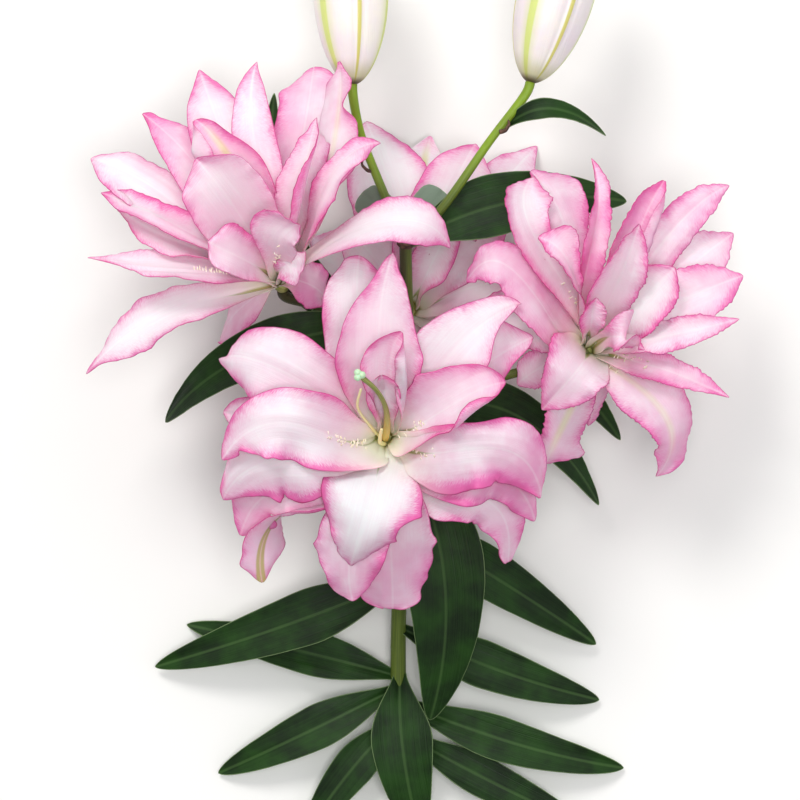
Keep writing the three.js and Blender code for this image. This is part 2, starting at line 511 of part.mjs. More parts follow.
function pistilSolid() {
  const tip = vector(PISTIL.line.at(-1)).add(vector(FRONT_BLOOM.centre));
  const lobes = [0, 1, 2].map((k) => {
    const angle = (k * 2 * Math.PI) / 3;
    const place = new THREE.Vector3(Math.cos(angle), Math.sin(angle), 0).multiplyScalar(STIGMA_LOBE_OFFSET);
    return solidOf(new THREE.IcosahedronGeometry(STIGMA_LOBE_RADIUS, 0).translate(...place.add(tip)));
  });
  return joined([stoodOnCentre(PISTIL), ...lobes]);
}

// The front bloom leaves room for its pistil and filaments
function frontBloomSolid() {
  const room = [PISTIL, LONG_FILAMENT, SHORT_FILAMENT].map((piece) =>
    stoodOnCentre(piece, { lift: 0, growth: PISTIL_ROOM }),
  );
  return largestBody(bloomSolid(FRONT_BLOOM).subtract(joined(room)));
}

const lily = new THREE.Group();
lily.add(
  meshOf("leafy_stem", leafyStem(), GREEN),
  meshOf("bloom_front", frontBloomSolid(), PETAL),
  meshOf("bloom_left", bloomSolid(LEFT_BLOOM), PETAL),
  meshOf("bloom_right", bloomSolid(RIGHT_BLOOM), PETAL),
  meshOf("bloom_rear", bloomSolid(REAR_BLOOM), PETAL),
  meshOf("bud_left", budSolid(BUDS.left), BUD_SKIN),
  meshOf("bud_right", budSolid(BUDS.right), BUD_SKIN),
  meshOf("pistil", pistilSolid(), PISTIL_GREEN),
  meshOf("filament_long", stoodOnCentre(LONG_FILAMENT), FILAMENT_CREAM),
  meshOf("filament_short", stoodOnCentre(SHORT_FILAMENT), FILAMENT_CREAM),
);

export default lily;
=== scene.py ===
# %% [markdown]
# A cut stem of a double lily, with three open blooms, one behind them, two buds and its leaves. The frame
# that is loaded here holds every piece at its real size as plain facets. Each cell below makes one kind of
# piece again as a fine mesh in the same place, and gives it a procedural finish.

# %% The frame
import math
import random

import bmesh
import bpy
from mathutils import Matrix, Vector, kdtree, noise
from mathutils.geometry import intersect_point_line


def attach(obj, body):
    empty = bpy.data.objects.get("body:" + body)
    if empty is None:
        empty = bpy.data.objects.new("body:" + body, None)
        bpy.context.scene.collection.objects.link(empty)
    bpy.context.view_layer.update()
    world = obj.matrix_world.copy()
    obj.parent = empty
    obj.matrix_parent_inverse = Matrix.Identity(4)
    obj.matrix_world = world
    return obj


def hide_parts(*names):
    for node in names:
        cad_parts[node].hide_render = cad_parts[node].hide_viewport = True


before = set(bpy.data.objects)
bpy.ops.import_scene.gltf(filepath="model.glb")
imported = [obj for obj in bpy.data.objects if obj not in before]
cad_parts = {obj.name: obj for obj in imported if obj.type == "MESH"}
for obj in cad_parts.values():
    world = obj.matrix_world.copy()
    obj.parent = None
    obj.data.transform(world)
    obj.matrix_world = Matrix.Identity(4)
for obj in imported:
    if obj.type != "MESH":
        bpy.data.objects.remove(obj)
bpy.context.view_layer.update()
MM = 0.001
print("frame:", ", ".join(sorted(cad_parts)))

# %% [markdown]
# The picture was taken from the front of the flowers, and the stem lies with its front up, so the camera
# looks straight down. A far camera with a long lens keeps the petals that stand highest from growing too
# large. The lens is worked out from the width that the picture shows at the height of the blooms.

# %% The camera
CAMERA_HEIGHT = 2.5
VIEW_CENTRE_Y = 0.2475
BLOOM_LEVEL = 0.1
VIEW_WIDTH = 0.44
SENSOR_WIDTH = 36

camera_data = bpy.data.cameras.new("camera")
camera_data.sensor_width = SENSOR_WIDTH
camera_data.lens = SENSOR_WIDTH * (CAMERA_HEIGHT - BLOOM_LEVEL) / VIEW_WIDTH
camera = bpy.data.objects.new("camera", camera_data)
camera.location = (0, VIEW_CENTRE_Y, CAMERA_HEIGHT)
bpy.context.scene.collection.objects.link(camera)
bpy.context.scene.camera = camera
print("lens:", round(camera_data.lens, 1), "mm")

# %% [markdown]
# Every finish here is a small graph of shader nodes, and a few helpers keep the graphs short. One turns a
# colour as it is seen on a screen into the linear value that nodes take. Another adds a node with its
# settings and fills its sockets, either with a value or with a link from another node. The rest place the
# nodes that come up most.

# %% Helpers for nodes
def tint(code):
    """A screen colour, such as "f7dfeb", as a linear colour for a node."""
    screen = [int(code[i : i + 2], 16) / 255 for i in (0, 2, 4)]
    return (*[c / 12.92 if c <= 0.04045 else ((c + 0.055) / 1.055) ** 2.4 for c in screen], 1)


def connect(tree, node, sockets):
    """Fills a node's sockets, each with a value or with a link from another node's socket."""
    for name, value in sockets.items():
        if isinstance(value, bpy.types.NodeSocket):
            tree.links.new(value, node.inputs[name])
        else:
            node.inputs[name].default_value = value


def add_node(tree, kind, sockets=None, **settings):
    node = tree.nodes.new("ShaderNode" + kind)
    for name, value in settings.items():
        setattr(node, name, value)
    connect(tree, node, sockets or {})
    return node


def attribute(tree, name):
    """A value that the mesh carries at each of its points."""
    return add_node(tree, "Attribute", attribute_name=name).outputs["Fac"]


def math_node(tree, operation, first, second=0.0, **settings):
    return add_node(tree, "Math", {0: first, 1: second}, operation=operation, **settings).outputs[0]


def times(tree, first, second, **settings):
    return math_node(tree, "MULTIPLY", first, second, **settings)


def plus(tree, first, second, **settings):
    return math_node(tree, "ADD", first, second, **settings)


def mask(tree, value, start, end):
    """0 where the value is at start, 1 where it is at end, and smooth between them."""
    sockets = {"Value": value, "From Min": start, "From Max": end}
    return add_node(tree, "MapRange", sockets, interpolation_type="SMOOTHSTEP").outputs["Result"]


def ranged(tree, value, low, high):
    """A value from 0 to 1 as one from low to high."""
    return add_node(tree, "MapRange", {"Value": value, "To Min": low, "To Max": high}).outputs["Result"]


def mixed(tree, share, first, second):
    """The first colour, turned into the second by a share from 0 to 1."""
    return add_node(tree, "Mix", {"Factor": share, 6: first, 7: second}, data_type="RGBA").outputs[2]


def washed(tree, colour, *layers):
    """A colour with others laid over it. A layer is a share, how much of it counts, and its colour."""
    for share, strength, code in layers:
        colour = mixed(tree, times(tree, share, strength), colour, tint(code))
    return colour


def bumped(tree, height, strength, distance):
    """The normal of a surface with the fine relief that height gives."""
    sockets = {"Height": height, "Strength": strength, "Distance": distance}
    return add_node(tree, "Bump", sockets).outputs["Normal"]


def new_material(name):
    material = bpy.data.materials.new(name)
    material.use_nodes = True
    return material, material.node_tree, material.node_tree.nodes["Principled BSDF"]


# %% [markdown]
# The surface is a plain pale floor. One large soft lamp from the upper left models the petals, one above
# the camera opens the gaps between them, and a weak one stands at the right. The pale world around fills
# what is left, and grows brighter towards the top of the picture.

# %% Floor and light
FLOOR_SIZE = 6
LAMP_TARGET = Vector((0, 0.25, 0.05))
SKY_COLOUR = (0.95, 0.96, 1.0, 1)
SKY_STRENGTHS = (0.12, 0.8)
SKY_REACH = 0.9


def add_lamp(name, place, size, power, colour):
    data = bpy.data.lights.new(name, "AREA")
    data.shape = "DISK"
    data.size = size
    data.energy = power
    data.color = colour
    lamp = bpy.data.objects.new(name, data)
    lamp.location = place
    lamp.rotation_euler = (LAMP_TARGET - Vector(place)).to_track_quat("-Z", "Y").to_euler()
    bpy.context.scene.collection.objects.link(lamp)


def light_tent():
    world = bpy.data.worlds.new("light_tent")
    world.use_nodes = True
    tree = world.node_tree
    way = add_node(tree, "TexCoord").outputs["Generated"]
    upwards = add_node(tree, "SeparateXYZ", {"Vector": way}).outputs["Y"]
    share = {"Value": upwards, "From Min": -SKY_REACH, "From Max": SKY_REACH}
    strength = {"To Min": SKY_STRENGTHS[0], "To Max": SKY_STRENGTHS[1]}
    fade = add_node(tree, "MapRange", share | strength).outputs["Result"]
    connect(tree, tree.nodes["Background"], {"Color": SKY_COLOUR, "Strength": fade})
    return world


def make_floor():
    bm = bmesh.new()
    bmesh.ops.create_grid(bm, x_segments=1, y_segments=1, size=FLOOR_SIZE / 2)
    data = bpy.data.meshes.new("floor")
    bm.to_mesh(data)
    bm.free()
    material, tree, shader = new_material("pale_floor")
    connect(tree, shader, {"Base Color": tint("f0efec"), "Roughness": 0.8})
    data.materials.append(material)
    floor = bpy.data.objects.new("floor", data)
    bpy.context.scene.collection.objects.link(floor)
    return floor


add_lamp("key_lamp", (-0.9, 2.1, 2.5), 1.1, 46, (1.0, 0.985, 0.96))
add_lamp("front_lamp", (0.2, 0.1, 3.4), 1.4, 50, (1.0, 1.0, 1.0))
add_lamp("side_lamp", (1.7, 0.1, 1.5), 1.6, 5, (0.96, 0.98, 1.0))
bpy.context.scene.world = light_tent()
bpy.context.scene.view_settings.view_transform = "Standard"
floor = make_floor()
print("lamps:", len(bpy.data.lights))

# %% [markdown]
# Petals, leaves, buds and stalks all carry fine lines that run along them: veins, ribs or fibres. They are
# the same effect at other widths, a noise that is stretched along the piece, so it is a node group that
# each material uses with its own numbers. A second group is the soft unevenness that every living surface
# has.

# %% Shared effects
def effect_group(name, inputs, outputs):
    group = bpy.data.node_groups.new(name, "ShaderNodeTree")
    for socket, default in inputs.items():
        made = group.interface.new_socket(socket, in_out="INPUT", socket_type="NodeSocketFloat")
        made.default_value = default
    for socket in outputs:
        group.interface.new_socket(socket, in_out="OUTPUT", socket_type="NodeSocketFloat")
    return group, group.nodes.new("NodeGroupInput").outputs, group.nodes.new("NodeGroupOutput").inputs


def lines_group():
    inputs = {"Across": 0, "Along": 0, "Spacing": 1, "Length": 20}
    group, given, result = effect_group("fine_lines", inputs, ["Line"])
    across = math_node(group, "DIVIDE", given["Across"], given["Spacing"])
    along = math_node(group, "DIVIDE", given["Along"], given["Length"])
    place = add_node(group, "CombineXYZ", {"X": across, "Y": along}).outputs["Vector"]
    grain = add_node(group, "TexNoise", {"Vector": place, "Scale": 1.0, "Detail": 2.0, "Roughness": 0.6})
    group.links.new(mask(group, grain.outputs["Fac"], 0.32, 0.68), result["Line"])
    return group


def unevenness_group():
    group, given, result = effect_group("unevenness", {"Size": 0.01}, ["Value"])
    place = add_node(group, "TexCoord").outputs["Object"]
    scale = math_node(group, "DIVIDE", 1.0, given["Size"])
    grain = add_node(group, "TexNoise", {"Vector": place, "Scale": scale, "Detail": 3.0, "Roughness": 0.55})
    group.links.new(mask(group, grain.outputs["Fac"], 0.3, 0.7), result["Value"])
    return group


LINES = lines_group()
UNEVENNESS = unevenness_group()


def fine_lines(tree, across, along, spacing, length):
    """Lines about as far apart as spacing and as long as length, in millimetres."""
    sockets = {"Across": across, "Along": along, "Spacing": spacing, "Length": length}
    return add_node(tree, "Group", sockets, node_tree=LINES).outputs[0]


def uneven_value(tree, size):
    """A soft value with patches about as wide as size, in metres."""
    return add_node(tree, "Group", {"Size": size}, node_tree=UNEVENNESS).outputs[0]


# %% [markdown]
# A petal of this lily is white to pale pink, with a bright pink margin about two millimetres wide that runs
# inwards along fine streaks. The meshes carry, at each point, the distance from the margin and the place
# along and across the petal in millimetres. Here the streaks and patches pull the margin further in, and
# three shares come out of it: a feathered band, the bright line and the thin rim.

# %% The margin of a petal
BLADE_VALUES = ("edge", "along", "across", "length", "tone", "keel", "rib", "pink")
STREAK_PULL = -1.5
UNEVEN_PULL = -3.2
PATCH_PULL = -1.2
PINK_PULL = -1.5
PATCH_SIZE = 0.007
BLADE_START = (0.12, 0.34)
PINK_REACH = 3.0
BAND_INSIDE = -5.5
BAND_FALL = 2.2
BAND_STRENGTH = 0.92
TONE_STRENGTH = 0.3
PINK_STRENGTH = 0.3
LINE_NEARNESS = (0.2, -4.4)
RIM_WIDTH = (0.6, 0.1)
RIM_START = (0.1, 0.2)


def margin_shares(tree, blade, streak, uneven, reach):
    """How strongly the band, the bright line and the rim show. reach is the width of the band."""
    edge, along, tone, pink = (blade[name] for name in ("edge", "along", "tone", "pink"))
    patches = uneven_value(tree, PATCH_SIZE)
    pulls = ((streak, STREAK_PULL), (uneven, UNEVEN_PULL), (patches, PATCH_PULL), (pink, PINK_PULL))
    nearness = edge
    for value, pull in pulls:
        nearness = plus(tree, nearness, times(tree, value, pull))
    blade_part = mask(tree, along, *BLADE_START)
    outside = plus(tree, reach, times(tree, pink, PINK_REACH))
    band = add_node(tree, "MapRange", {"Value": nearness, "From Min": outside, "From Max": BAND_INSIDE})
    band = math_node(tree, "POWER", band.outputs["Result"], BAND_FALL)
    strength = plus(tree, BAND_STRENGTH, times(tree, tone, TONE_STRENGTH))
    strength = plus(tree, strength, times(tree, pink, PINK_STRENGTH))
    strength = times(tree, strength, plus(tree, 0.74, times(tree, streak, 0.5)))
    band = times(tree, times(tree, band, blade_part), strength, use_clamp=True)
    line = times(tree, mask(tree, nearness, *LINE_NEARNESS), blade_part)
    rim = times(tree, mask(tree, edge, *RIM_WIDTH), mask(tree, along, *RIM_START))
    rim = times(tree, rim, plus(tree, 1.0, times(tree, pink, 0.7)), use_clamp=True)
    return band, line, rim


# %% [markdown]
# Between the margins the petal blushes by its tone, and painted shade makes it pinker where it turns away
# from the upper-left lamp. Towards the root it turns warm, partly its own blush and partly painted warm
# shade of the throat, then cream and then green. The face has a green furrow along its middle and a faint
# painted highlight on the crease of its midrib, and the back, which is a little duller, has a yellow-green
# double stripe on the outer petals.

# %% Petal finishes
UPPER_LEFT = Vector((-0.4, 0.5, 1)).normalized()
SHADE_FACING_RANGE = (0.97, 0.3)
PAINTED_SHADE_BLUSH = 0.32
EVEN_BLUSH = 0.4
UNEVEN_BLUSH = 0.6
VEIN_BLUSH = 0.07
VEINS = (0.9, 40.0)
STREAKS = (0.42, 2.6)
STREAK_SLANT = 0.6
ROOT_BLUSH_AND_SHADE = "f7e2d6"
ROOT_CREAM = "f4edd2"
ROOT_GREEN = "b9b566"
STRIPE_GREEN = "97993a"
FURROW_GREEN = "8f9a2e"
MIDRIB_HIGHLIGHT = "fdf6f6"
RIB_CREAM = "e6dc98"
MARGIN_STRENGTHS = (1.0, 0.78, 0.85)


def body_colour(tree, blade, veins, uneven, body, flush):
    normal = add_node(tree, "NewGeometry").outputs["Normal"]
    facing = add_node(tree, "VectorMath", {0: normal, 1: UPPER_LEFT}, operation="DOT_PRODUCT")
    # Painted shade: the petal is painted pinker where its normal turns away from the upper-left lamp.
    turned = mask(tree, facing.outputs["Value"], *SHADE_FACING_RANGE)
    blush = times(tree, blade["tone"], plus(tree, EVEN_BLUSH, times(tree, uneven, UNEVEN_BLUSH)))
    blush = plus(tree, blush, times(tree, turned, PAINTED_SHADE_BLUSH), use_clamp=True)
    return washed(tree, mixed(tree, blush, tint(body), tint(flush)), (veins, VEIN_BLUSH, flush))


def root_and_middle(tree, blade, colour, back):
    """The colours towards the root, and the stripes along the middle of a back or the furrow of a face."""
    along = blade["along"]
    # Towards the root a warm tint, partly the petal's own blush and partly painted warm shade of the throat.
    colour = washed(
        tree,
        colour,
        (mask(tree, along, 0.42, 0.14), 0.45, ROOT_BLUSH_AND_SHADE),
        (mask(tree, along, 0.2, 0.07), 0.7, ROOT_CREAM),
        (mask(tree, along, 0.05, 0.0), 1.0, ROOT_GREEN),
    )
    beside_middle = math_node(tree, "ABSOLUTE", blade["across"])
    if back:
        stripe = times(tree, mask(tree, beside_middle, 3.2, 2.0), mask(tree, beside_middle, -0.9, 0.9))
        return washed(tree, colour, (times(tree, stripe, blade["keel"]), 0.85, STRIPE_GREEN))
    slit = times(tree, mask(tree, along, 0.36, 0.1), 2.0)
    furrow = math_node(tree, "SUBTRACT", slit, beside_middle, use_clamp=True)
    # A faint white line along the midrib of the face: a painted highlight on its crease.
    middle = mask(tree, beside_middle, 0.9, 0.2)
    rib = times(tree, mask(tree, beside_middle, 3.4, 0.4), blade["rib"])
    return washed(
        tree,
        colour,
        (furrow, 0.9, FURROW_GREEN),
        (middle, 0.16, MIDRIB_HIGHLIGHT),
        (rib, mask(tree, along, 1.0, 0.7), RIB_CREAM),
    )


def petal_material(name, body, flush, margin, reach, back):
    """margin gives the colours of the band, the bright line and the rim; reach is the width of the band."""
    material, tree, shader = new_material(name)
    blade = {value: attribute(tree, value) for value in BLADE_VALUES}
    uneven = uneven_value(tree, 0.024)
    slanted = math_node(tree, "SUBTRACT", blade["length"], times(tree, blade["edge"], STREAK_SLANT))
    streak = fine_lines(tree, slanted, blade["edge"], *STREAKS)
    veins = fine_lines(tree, blade["across"], blade["length"], *VEINS)
    colour = body_colour(tree, blade, veins, uneven, body, flush)
    shares = margin_shares(tree, blade, streak, uneven, reach)
    colour = washed(tree, colour, *zip(shares, MARGIN_STRENGTHS, margin))
    height = plus(tree, veins, times(tree, streak, 0.35))
    sockets = {
        "Base Color": root_and_middle(tree, blade, colour, back),
        "Roughness": ranged(tree, veins, 0.4, 0.52),
        "Specular IOR Level": 0.35,
        "Subsurface Weight": 0.4,
        "Subsurface Radius": (1.0, 0.35, 0.5),
        "Subsurface Scale": 0.005,
        "Normal": bumped(tree, height, 0.16, 0.0003),
    }
    connect(tree, shader, sockets)
    return material


FACE_MARGIN = ("e572aa", "dc5696", "ba3474")
BACK_MARGIN = ("e084b0", "d25891", "b53570")
PETAL_FACE = petal_material("petal_face", "fceef5", "e993b9", FACE_MARGIN, 12.5, back=False)
PETAL_BACK = petal_material("petal_back", "f7e7ef", "dc95ba", BACK_MARGIN, 10.5, back=True)
print("nodes in a petal's finish:", len(PETAL_FACE.node_tree.nodes))

# %% [markdown]
# Leaves are dark green and softly glossy, with paler ribs that run from end to end, and their undersides
# are lighter and duller. A tone of 1 gives the greyer green of the two top bracts. Stalks turn from bright
# green under the buds to a darker green lower down. Below the top node the stem's left side is brown and
# woody, and so is the left bloom's stalk.

# %% Green finishes
YOUNG_FROM = (0.355, 0.39)
WOODY_FROM = (0.26, 0.31)
WOODY_TO = (0.35, 0.34)
WOODY_SIDE = (0.008, 0.001)


def leaf_material(name, dark, light, roughness):
    material, tree, shader = new_material(name)
    across = attribute(tree, "across")
    ribs = fine_lines(tree, across, attribute(tree, "length"), 0.55, 120.0)
    colour = washed(
        tree,
        mixed(tree, uneven_value(tree, 0.02), tint(dark), tint(light)),
        (ribs, 0.12, "476b3a"),
        (mask(tree, math_node(tree, "ABSOLUTE", across), 1.3, 0.2), 0.22, "5f8249"),
        (attribute(tree, "tone"), 0.9, "7a8a7a"),
        (mask(tree, attribute(tree, "edge"), 0.5, 0.0), 0.5, "9db77f"),
    )
    sockets = {
        "Base Color": colour,
        "Roughness": ranged(tree, ribs, roughness, roughness + 0.14),
        "Specular IOR Level": 0.2,
        "Normal": bumped(tree, ribs, 0.35, 0.0004),
    }
    connect(tree, shader, sockets)
    return material


def stalk_material():
    material, tree, shader = new_material("stalk_green")
    place = add_node(tree, "SeparateXYZ", {"Vector": add_node(tree, "TexCoord").outputs["Object"]}).outputs
    fibres = fine_lines(tree, attribute(tree, "across"), attribute(tree, "length"), 0.5, 30.0)
    woody = times(tree, mask(tree, place["Y"], *WOODY_FROM), mask(tree, place["X"], *WOODY_SIDE))
    colour = washed(
        tree,
        mixed(tree, mask(tree, place["Y"], *YOUNG_FROM), tint("4b5c26"), tint("7d9c1c")),
        (uneven_value(tree, 0.012), 0.4, "56682a"),
        (fibres, 0.25, "98ab38"),
        (times(tree, woody, mask(tree, place["Y"], *WOODY_TO)), 0.9, "33301f"),
    )
    sockets = {
        "Base Color": colour,
        "Roughness": ranged(tree, fibres, 0.34, 0.5),
        "Specular IOR Level": 0.3,
        "Normal": bumped(tree, fibres, 0.3, 0.0003),
    }
    connect(tree, shader, sockets)
    return material


LEAF_FACE = leaf_material("leaf_face", "081a05", "1a3b0c", 0.46)
LEAF_BACK = leaf_material("leaf_back", "35592a", "587d42", 0.5)
STALK_GREEN = stalk_material()
print("materials:", len(bpy.data.materials))

# %% [markdown]
# A petal or a leaf is a blade. Its midrib is a smooth line through a few points, and its outline grows from
# a narrow claw at the root to its widest place, then closes towards the tip. The facets of the frame follow
# the same formula with few steps.

# %% The midrib and the outline
TIP_WIDTH = 0.012


def smooth_step(value, low, high):
    share = min(max((value - low) / (high - low), 0), 1)
    return share * share * (3 - 2 * share)


def lerp(first, last, share):
    return first + (last - first) * share


def along_line(points, t):
    """The point at t of the smooth line that passes its points at equal steps of t."""
    last = len(points) - 1
    out = Vector()
    for i, point in enumerate(points):
        share = 1.0
        for j in range(last + 1):
            if j != i:
                share *= (t * last - j) / (i - j)
        out += point * share
    return out


def outline_share(t, claw, peak, fullness):
    """The half width of a blade at t, as a share of its widest."""
    if t < peak:
        return claw + (1 - claw) * math.sin(math.pi / 2 * t / peak) ** 1.4
    past = (t - peak) / (1 - peak)
    return max(TIP_WIDTH, (1 - past**fullness) ** 0.6)


# %% [markdown]
# Across the midrib a blade is an arc that is more or less cupped, with a furrow in the middle. Towards the
# margin it swells, waves, frills and crimps. All of these grow with the place t along the blade, from 0 at
# the root to 1 at the tip, and fade where it is narrow, so the root stays plain and the tip stays clean.

# %% The section of a blade
TIP_START = (0.84, 1.03)
LEAST_HALF = 0.3
LOOSE_HALF = 7
MARGIN_WAVES = 2.2
OTHER_SIDE_PHASE = 2.1
SERRATION_START = (0.15, 0.4)
WAVE_START = (0.2, 0.55)
FRILL_START = (0.25, 0.5)
FRILL_PITCH = 17
CRIMP_START = (0.3, 0.6)
CRIMP_PITCH = 43
FURROW_END = (0.05, 0.42)
FURROW_WIDTH = 1.7
FOLD_PLACE = (0.46, 0.72)
COLUMN_CROWDING = 0.35
MIDRIB_STEP = 0.01


def pushed(blade, t, side):
    """What the marks of one margin add at t: out, up, curl, pink and fold, in millimetres and radians."""
    push = [0.0, 0.0, 0.0, 0.0, 0.0]
    for mark_side, centre, spread, *amounts in blade["marks"]:
        if mark_side in (side, 0):
            share = math.exp(-(((t - centre) / spread) ** 2))
            for k, amount in enumerate(amounts):
                push[k] += amount * share
    return push


def margin_shape(blade, t, side, out):
    """The half width at t, how freely the margin moves there, and how it waves, frills and crimps."""
    phase = blade["phase"]
    spot = Vector((t * 6, side * 4, phase))
    ragged = 1 + blade["ragged"] * (noise.noise(spot) + 0.25 * noise.noise(spot * 4))
    pointed = 1 - blade["point"] * smooth_step(t, *TIP_START)
    share = outline_share(t, *blade["outline"])
    half = max((blade["width"] / 2 * share * ragged + out) * pointed, LEAST_HALF)
    loose = smooth_step(half, 0, LOOSE_HALF)
    half += blade["serrated"] * smooth_step(t, *SERRATION_START) * loose * noise.noise(spot * 9)
    turn = 2 * math.pi * (MARGIN_WAVES * t + 0.3 * noise.noise(spot)) + phase
    crest = math.sin(turn + (0 if side > 0 else OTHER_SIDE_PHASE))
    frills = noise.noise(Vector((t * FRILL_PITCH, side, phase)))
    crimps = noise.noise(Vector((t * CRIMP_PITCH, side, phase)))
    wave = blade["wave"] * smooth_step(t, *WAVE_START) * loose * crest
    frill = blade["frill"] * smooth_step(t, *FRILL_START) * loose * frills
    crimp = blade["frill"] * smooth_step(t, *CRIMP_START) * loose * crimps
    return half, loose, wave, frill, crimp


def half_section(blade, t, side, count):
    """From the midrib out to one margin: places across and up, the way along the sheet, and the pink."""
    out, up, curl, pink, fold = pushed(blade, t, side)
    half, loose, wave, frill, crimp = margin_shape(blade, t, side, out)
    phase = blade["phase"]
    furrow = blade["furrow"] * (0.25 + 1.6 * (1 - smooth_step(t, *FURROW_END)))
    bend = lerp(*blade["cup"], t)
    section, across, rise, before = [], 0.0, 0.0, 0.0
    for k in range(count + 1):
        v = k / count * (1 + COLUMN_CROWDING - COLUMN_CROWDING * k / count)
        middle = (v + before) / 2
        angle = bend * middle + curl * middle**3 + fold * smooth_step(middle, *FOLD_PLACE)
        across += half * (v - before) * math.cos(angle)
        rise += half * (v - before) * math.sin(angle)
        before = v
        swell = noise.noise(Vector((side * v * 1.4 + phase, t * 3.2, 7.5))) * smooth_step(t, 0.1, 0.4) * loose
        pleat = noise.noise(Vector((side * half * v / 3.2, t * 1.6, phase)))
        lift = rise + up * v**2 + wave * v**2.2 + frill * v**5 + 0.6 * crimp * v**9
        lift += blade["swell"] * swell + blade["pleat"] * pleat * smooth_step(t, 0.1, 0.3) * loose
        lift -= furrow * math.exp(-((half * v / FURROW_WIDTH) ** 2))
        section.append((side * across, lift, side * half * v, pink * v**2))
    return section


def blade_row(blade, t, columns):
    """One row of points across the blade, each with its place along the sheet and its pink."""
    midrib, up = blade["midrib"], blade["axis"]
    out = midrib[1] - midrib[0]
    out = (out - up * out.dot(up)).normalized()
    ahead = (along_line(midrib, t + MIDRIB_STEP) - along_line(midrib, t - MIDRIB_STEP)).normalized()
    facing = up * ahead.dot(out) - out * ahead.dot(up)
    facing = (facing - ahead * facing.dot(ahead)).normalized()
    aside = ahead.cross(facing)
    turn = math.radians(lerp(*blade["roll"], t))
    facing, aside = (
        facing * math.cos(turn) + aside * math.sin(turn),
        aside * math.cos(turn) - facing * math.sin(turn),
    )
    place = along_line(midrib, t)
    first, second = (half_section(blade, t, side, columns // 2) for side in (-1, 1))
    section = [*reversed(first[1:]), *second]
    return [(place + aside * across + facing * lift, sheet, pink) for across, lift, sheet, pink in section]


# %% [markdown]
# A fine flat grid is carried onto the blade, point by point, which keeps clean rows and columns. Each point
# also keeps the values that its finish reads, such as its distance from the margin. A solidify modifier
# then gives the sheet its thickness, so face and back are one closed shell.

# %% From a grid to a piece
TIP_CROWDING = 1.35


def margin_distances(points, margin):
    """How far each point lies from the line of the margin."""
    finder = kdtree.KDTree(len(margin))
    for i, place in enumerate(margin):
        finder.insert(place, i)
    finder.balance()
    distances = []
    for point in points:
        near = finder.find(point)[1]
        best = (point - margin[near]).length
        for i in (near - 1, near):
            if 0 <= i < len(margin) - 1:
                foot, share = intersect_point_line(point, margin[i], margin[i + 1])
                if 0 < share < 1:
                    best = min(best, (point - foot).length)
        distances.append(best)
    return distances


def add_blade(bm, blade, columns, rows):
    """Carries a flat grid onto a blade. It has more rows near the tip, where the outline turns quickly."""
    grid = bmesh.ops.create_grid(bm, x_segments=columns, y_segments=rows, size=1)["verts"]
    layers = {name: bm.verts.layers.float[name] for name in BLADE_VALUES}
    steps = [1 - (1 - i / rows) ** TIP_CROWDING for i in range(rows + 1)]
    made = [blade_row(blade, t, columns) for t in steps]
    middle = columns // 2
    length = [0.0]
    for before, after in zip(made, made[1:]):
        length.append(length[-1] + (after[middle][0] - before[middle][0]).length)
    spots = [(round((vert.co.y + 1) / 2 * rows), round((vert.co.x + 1) / 2 * columns)) for vert in grid]
    left, right = [row[0][0] for row in made], [row[-1][0] for row in made]
    tip = [point for point, _, _ in made[-1][1:-1]]
    edges = margin_distances([made[i][j][0] for i, j in spots], [*left, *tip, *reversed(right)])
    for vert, (i, j), edge in zip(grid, spots, edges):
        point, sheet, pink = made[i][j]
        values = {
            "edge": edge,
            "along": steps[i],
            "across": sheet,
            "length": length[i],
            "pink": pink,
            **{name: blade[name] for name in ("tone", "keel", "rib")},
        }
        for name, value in values.items():
            vert[layers[name]] = value
        vert.co = point * MM


def mesh_with(names):
    """A new mesh whose points carry a value of each name."""
    bm = bmesh.new()
    for name in names:
        bm.verts.layers.float.new(name)
    return bm


def finished(bm, name, slot, nodes, *materials):
    """A mesh that is done becomes a piece of the object, in place of the frame's nodes."""
    for face in bm.faces:
        face.smooth = True
    data = bpy.data.meshes.new(name)
    bm.to_mesh(data)
    bm.free()
    for material in materials:
        data.materials.append(material)
    piece = bpy.data.objects.new(name, data)
    bpy.context.scene.collection.objects.link(piece)
    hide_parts(*nodes)
    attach(piece, "root")
    print(name, len(data.polygons), "faces")
    return piece


def given_thickness(piece, thickness, margin_share, margin_width):
    """Solidify makes a closed shell of the sheet, thinner at the margin. Its back takes the next material."""
    group = piece.vertex_groups.new(name="thickness")
    edge = piece.data.attributes["edge"].data
    for i in range(len(piece.data.vertices)):
        share = lerp(margin_share, 1, smooth_step(edge[i].value, 0, margin_width))
        group.add([i], share, "REPLACE")
    solidify = piece.modifiers.new("thickness", "SOLIDIFY")
    solidify.thickness = thickness * MM
    solidify.offset = 0
    solidify.material_offset = 1
    solidify.vertex_group = group.name
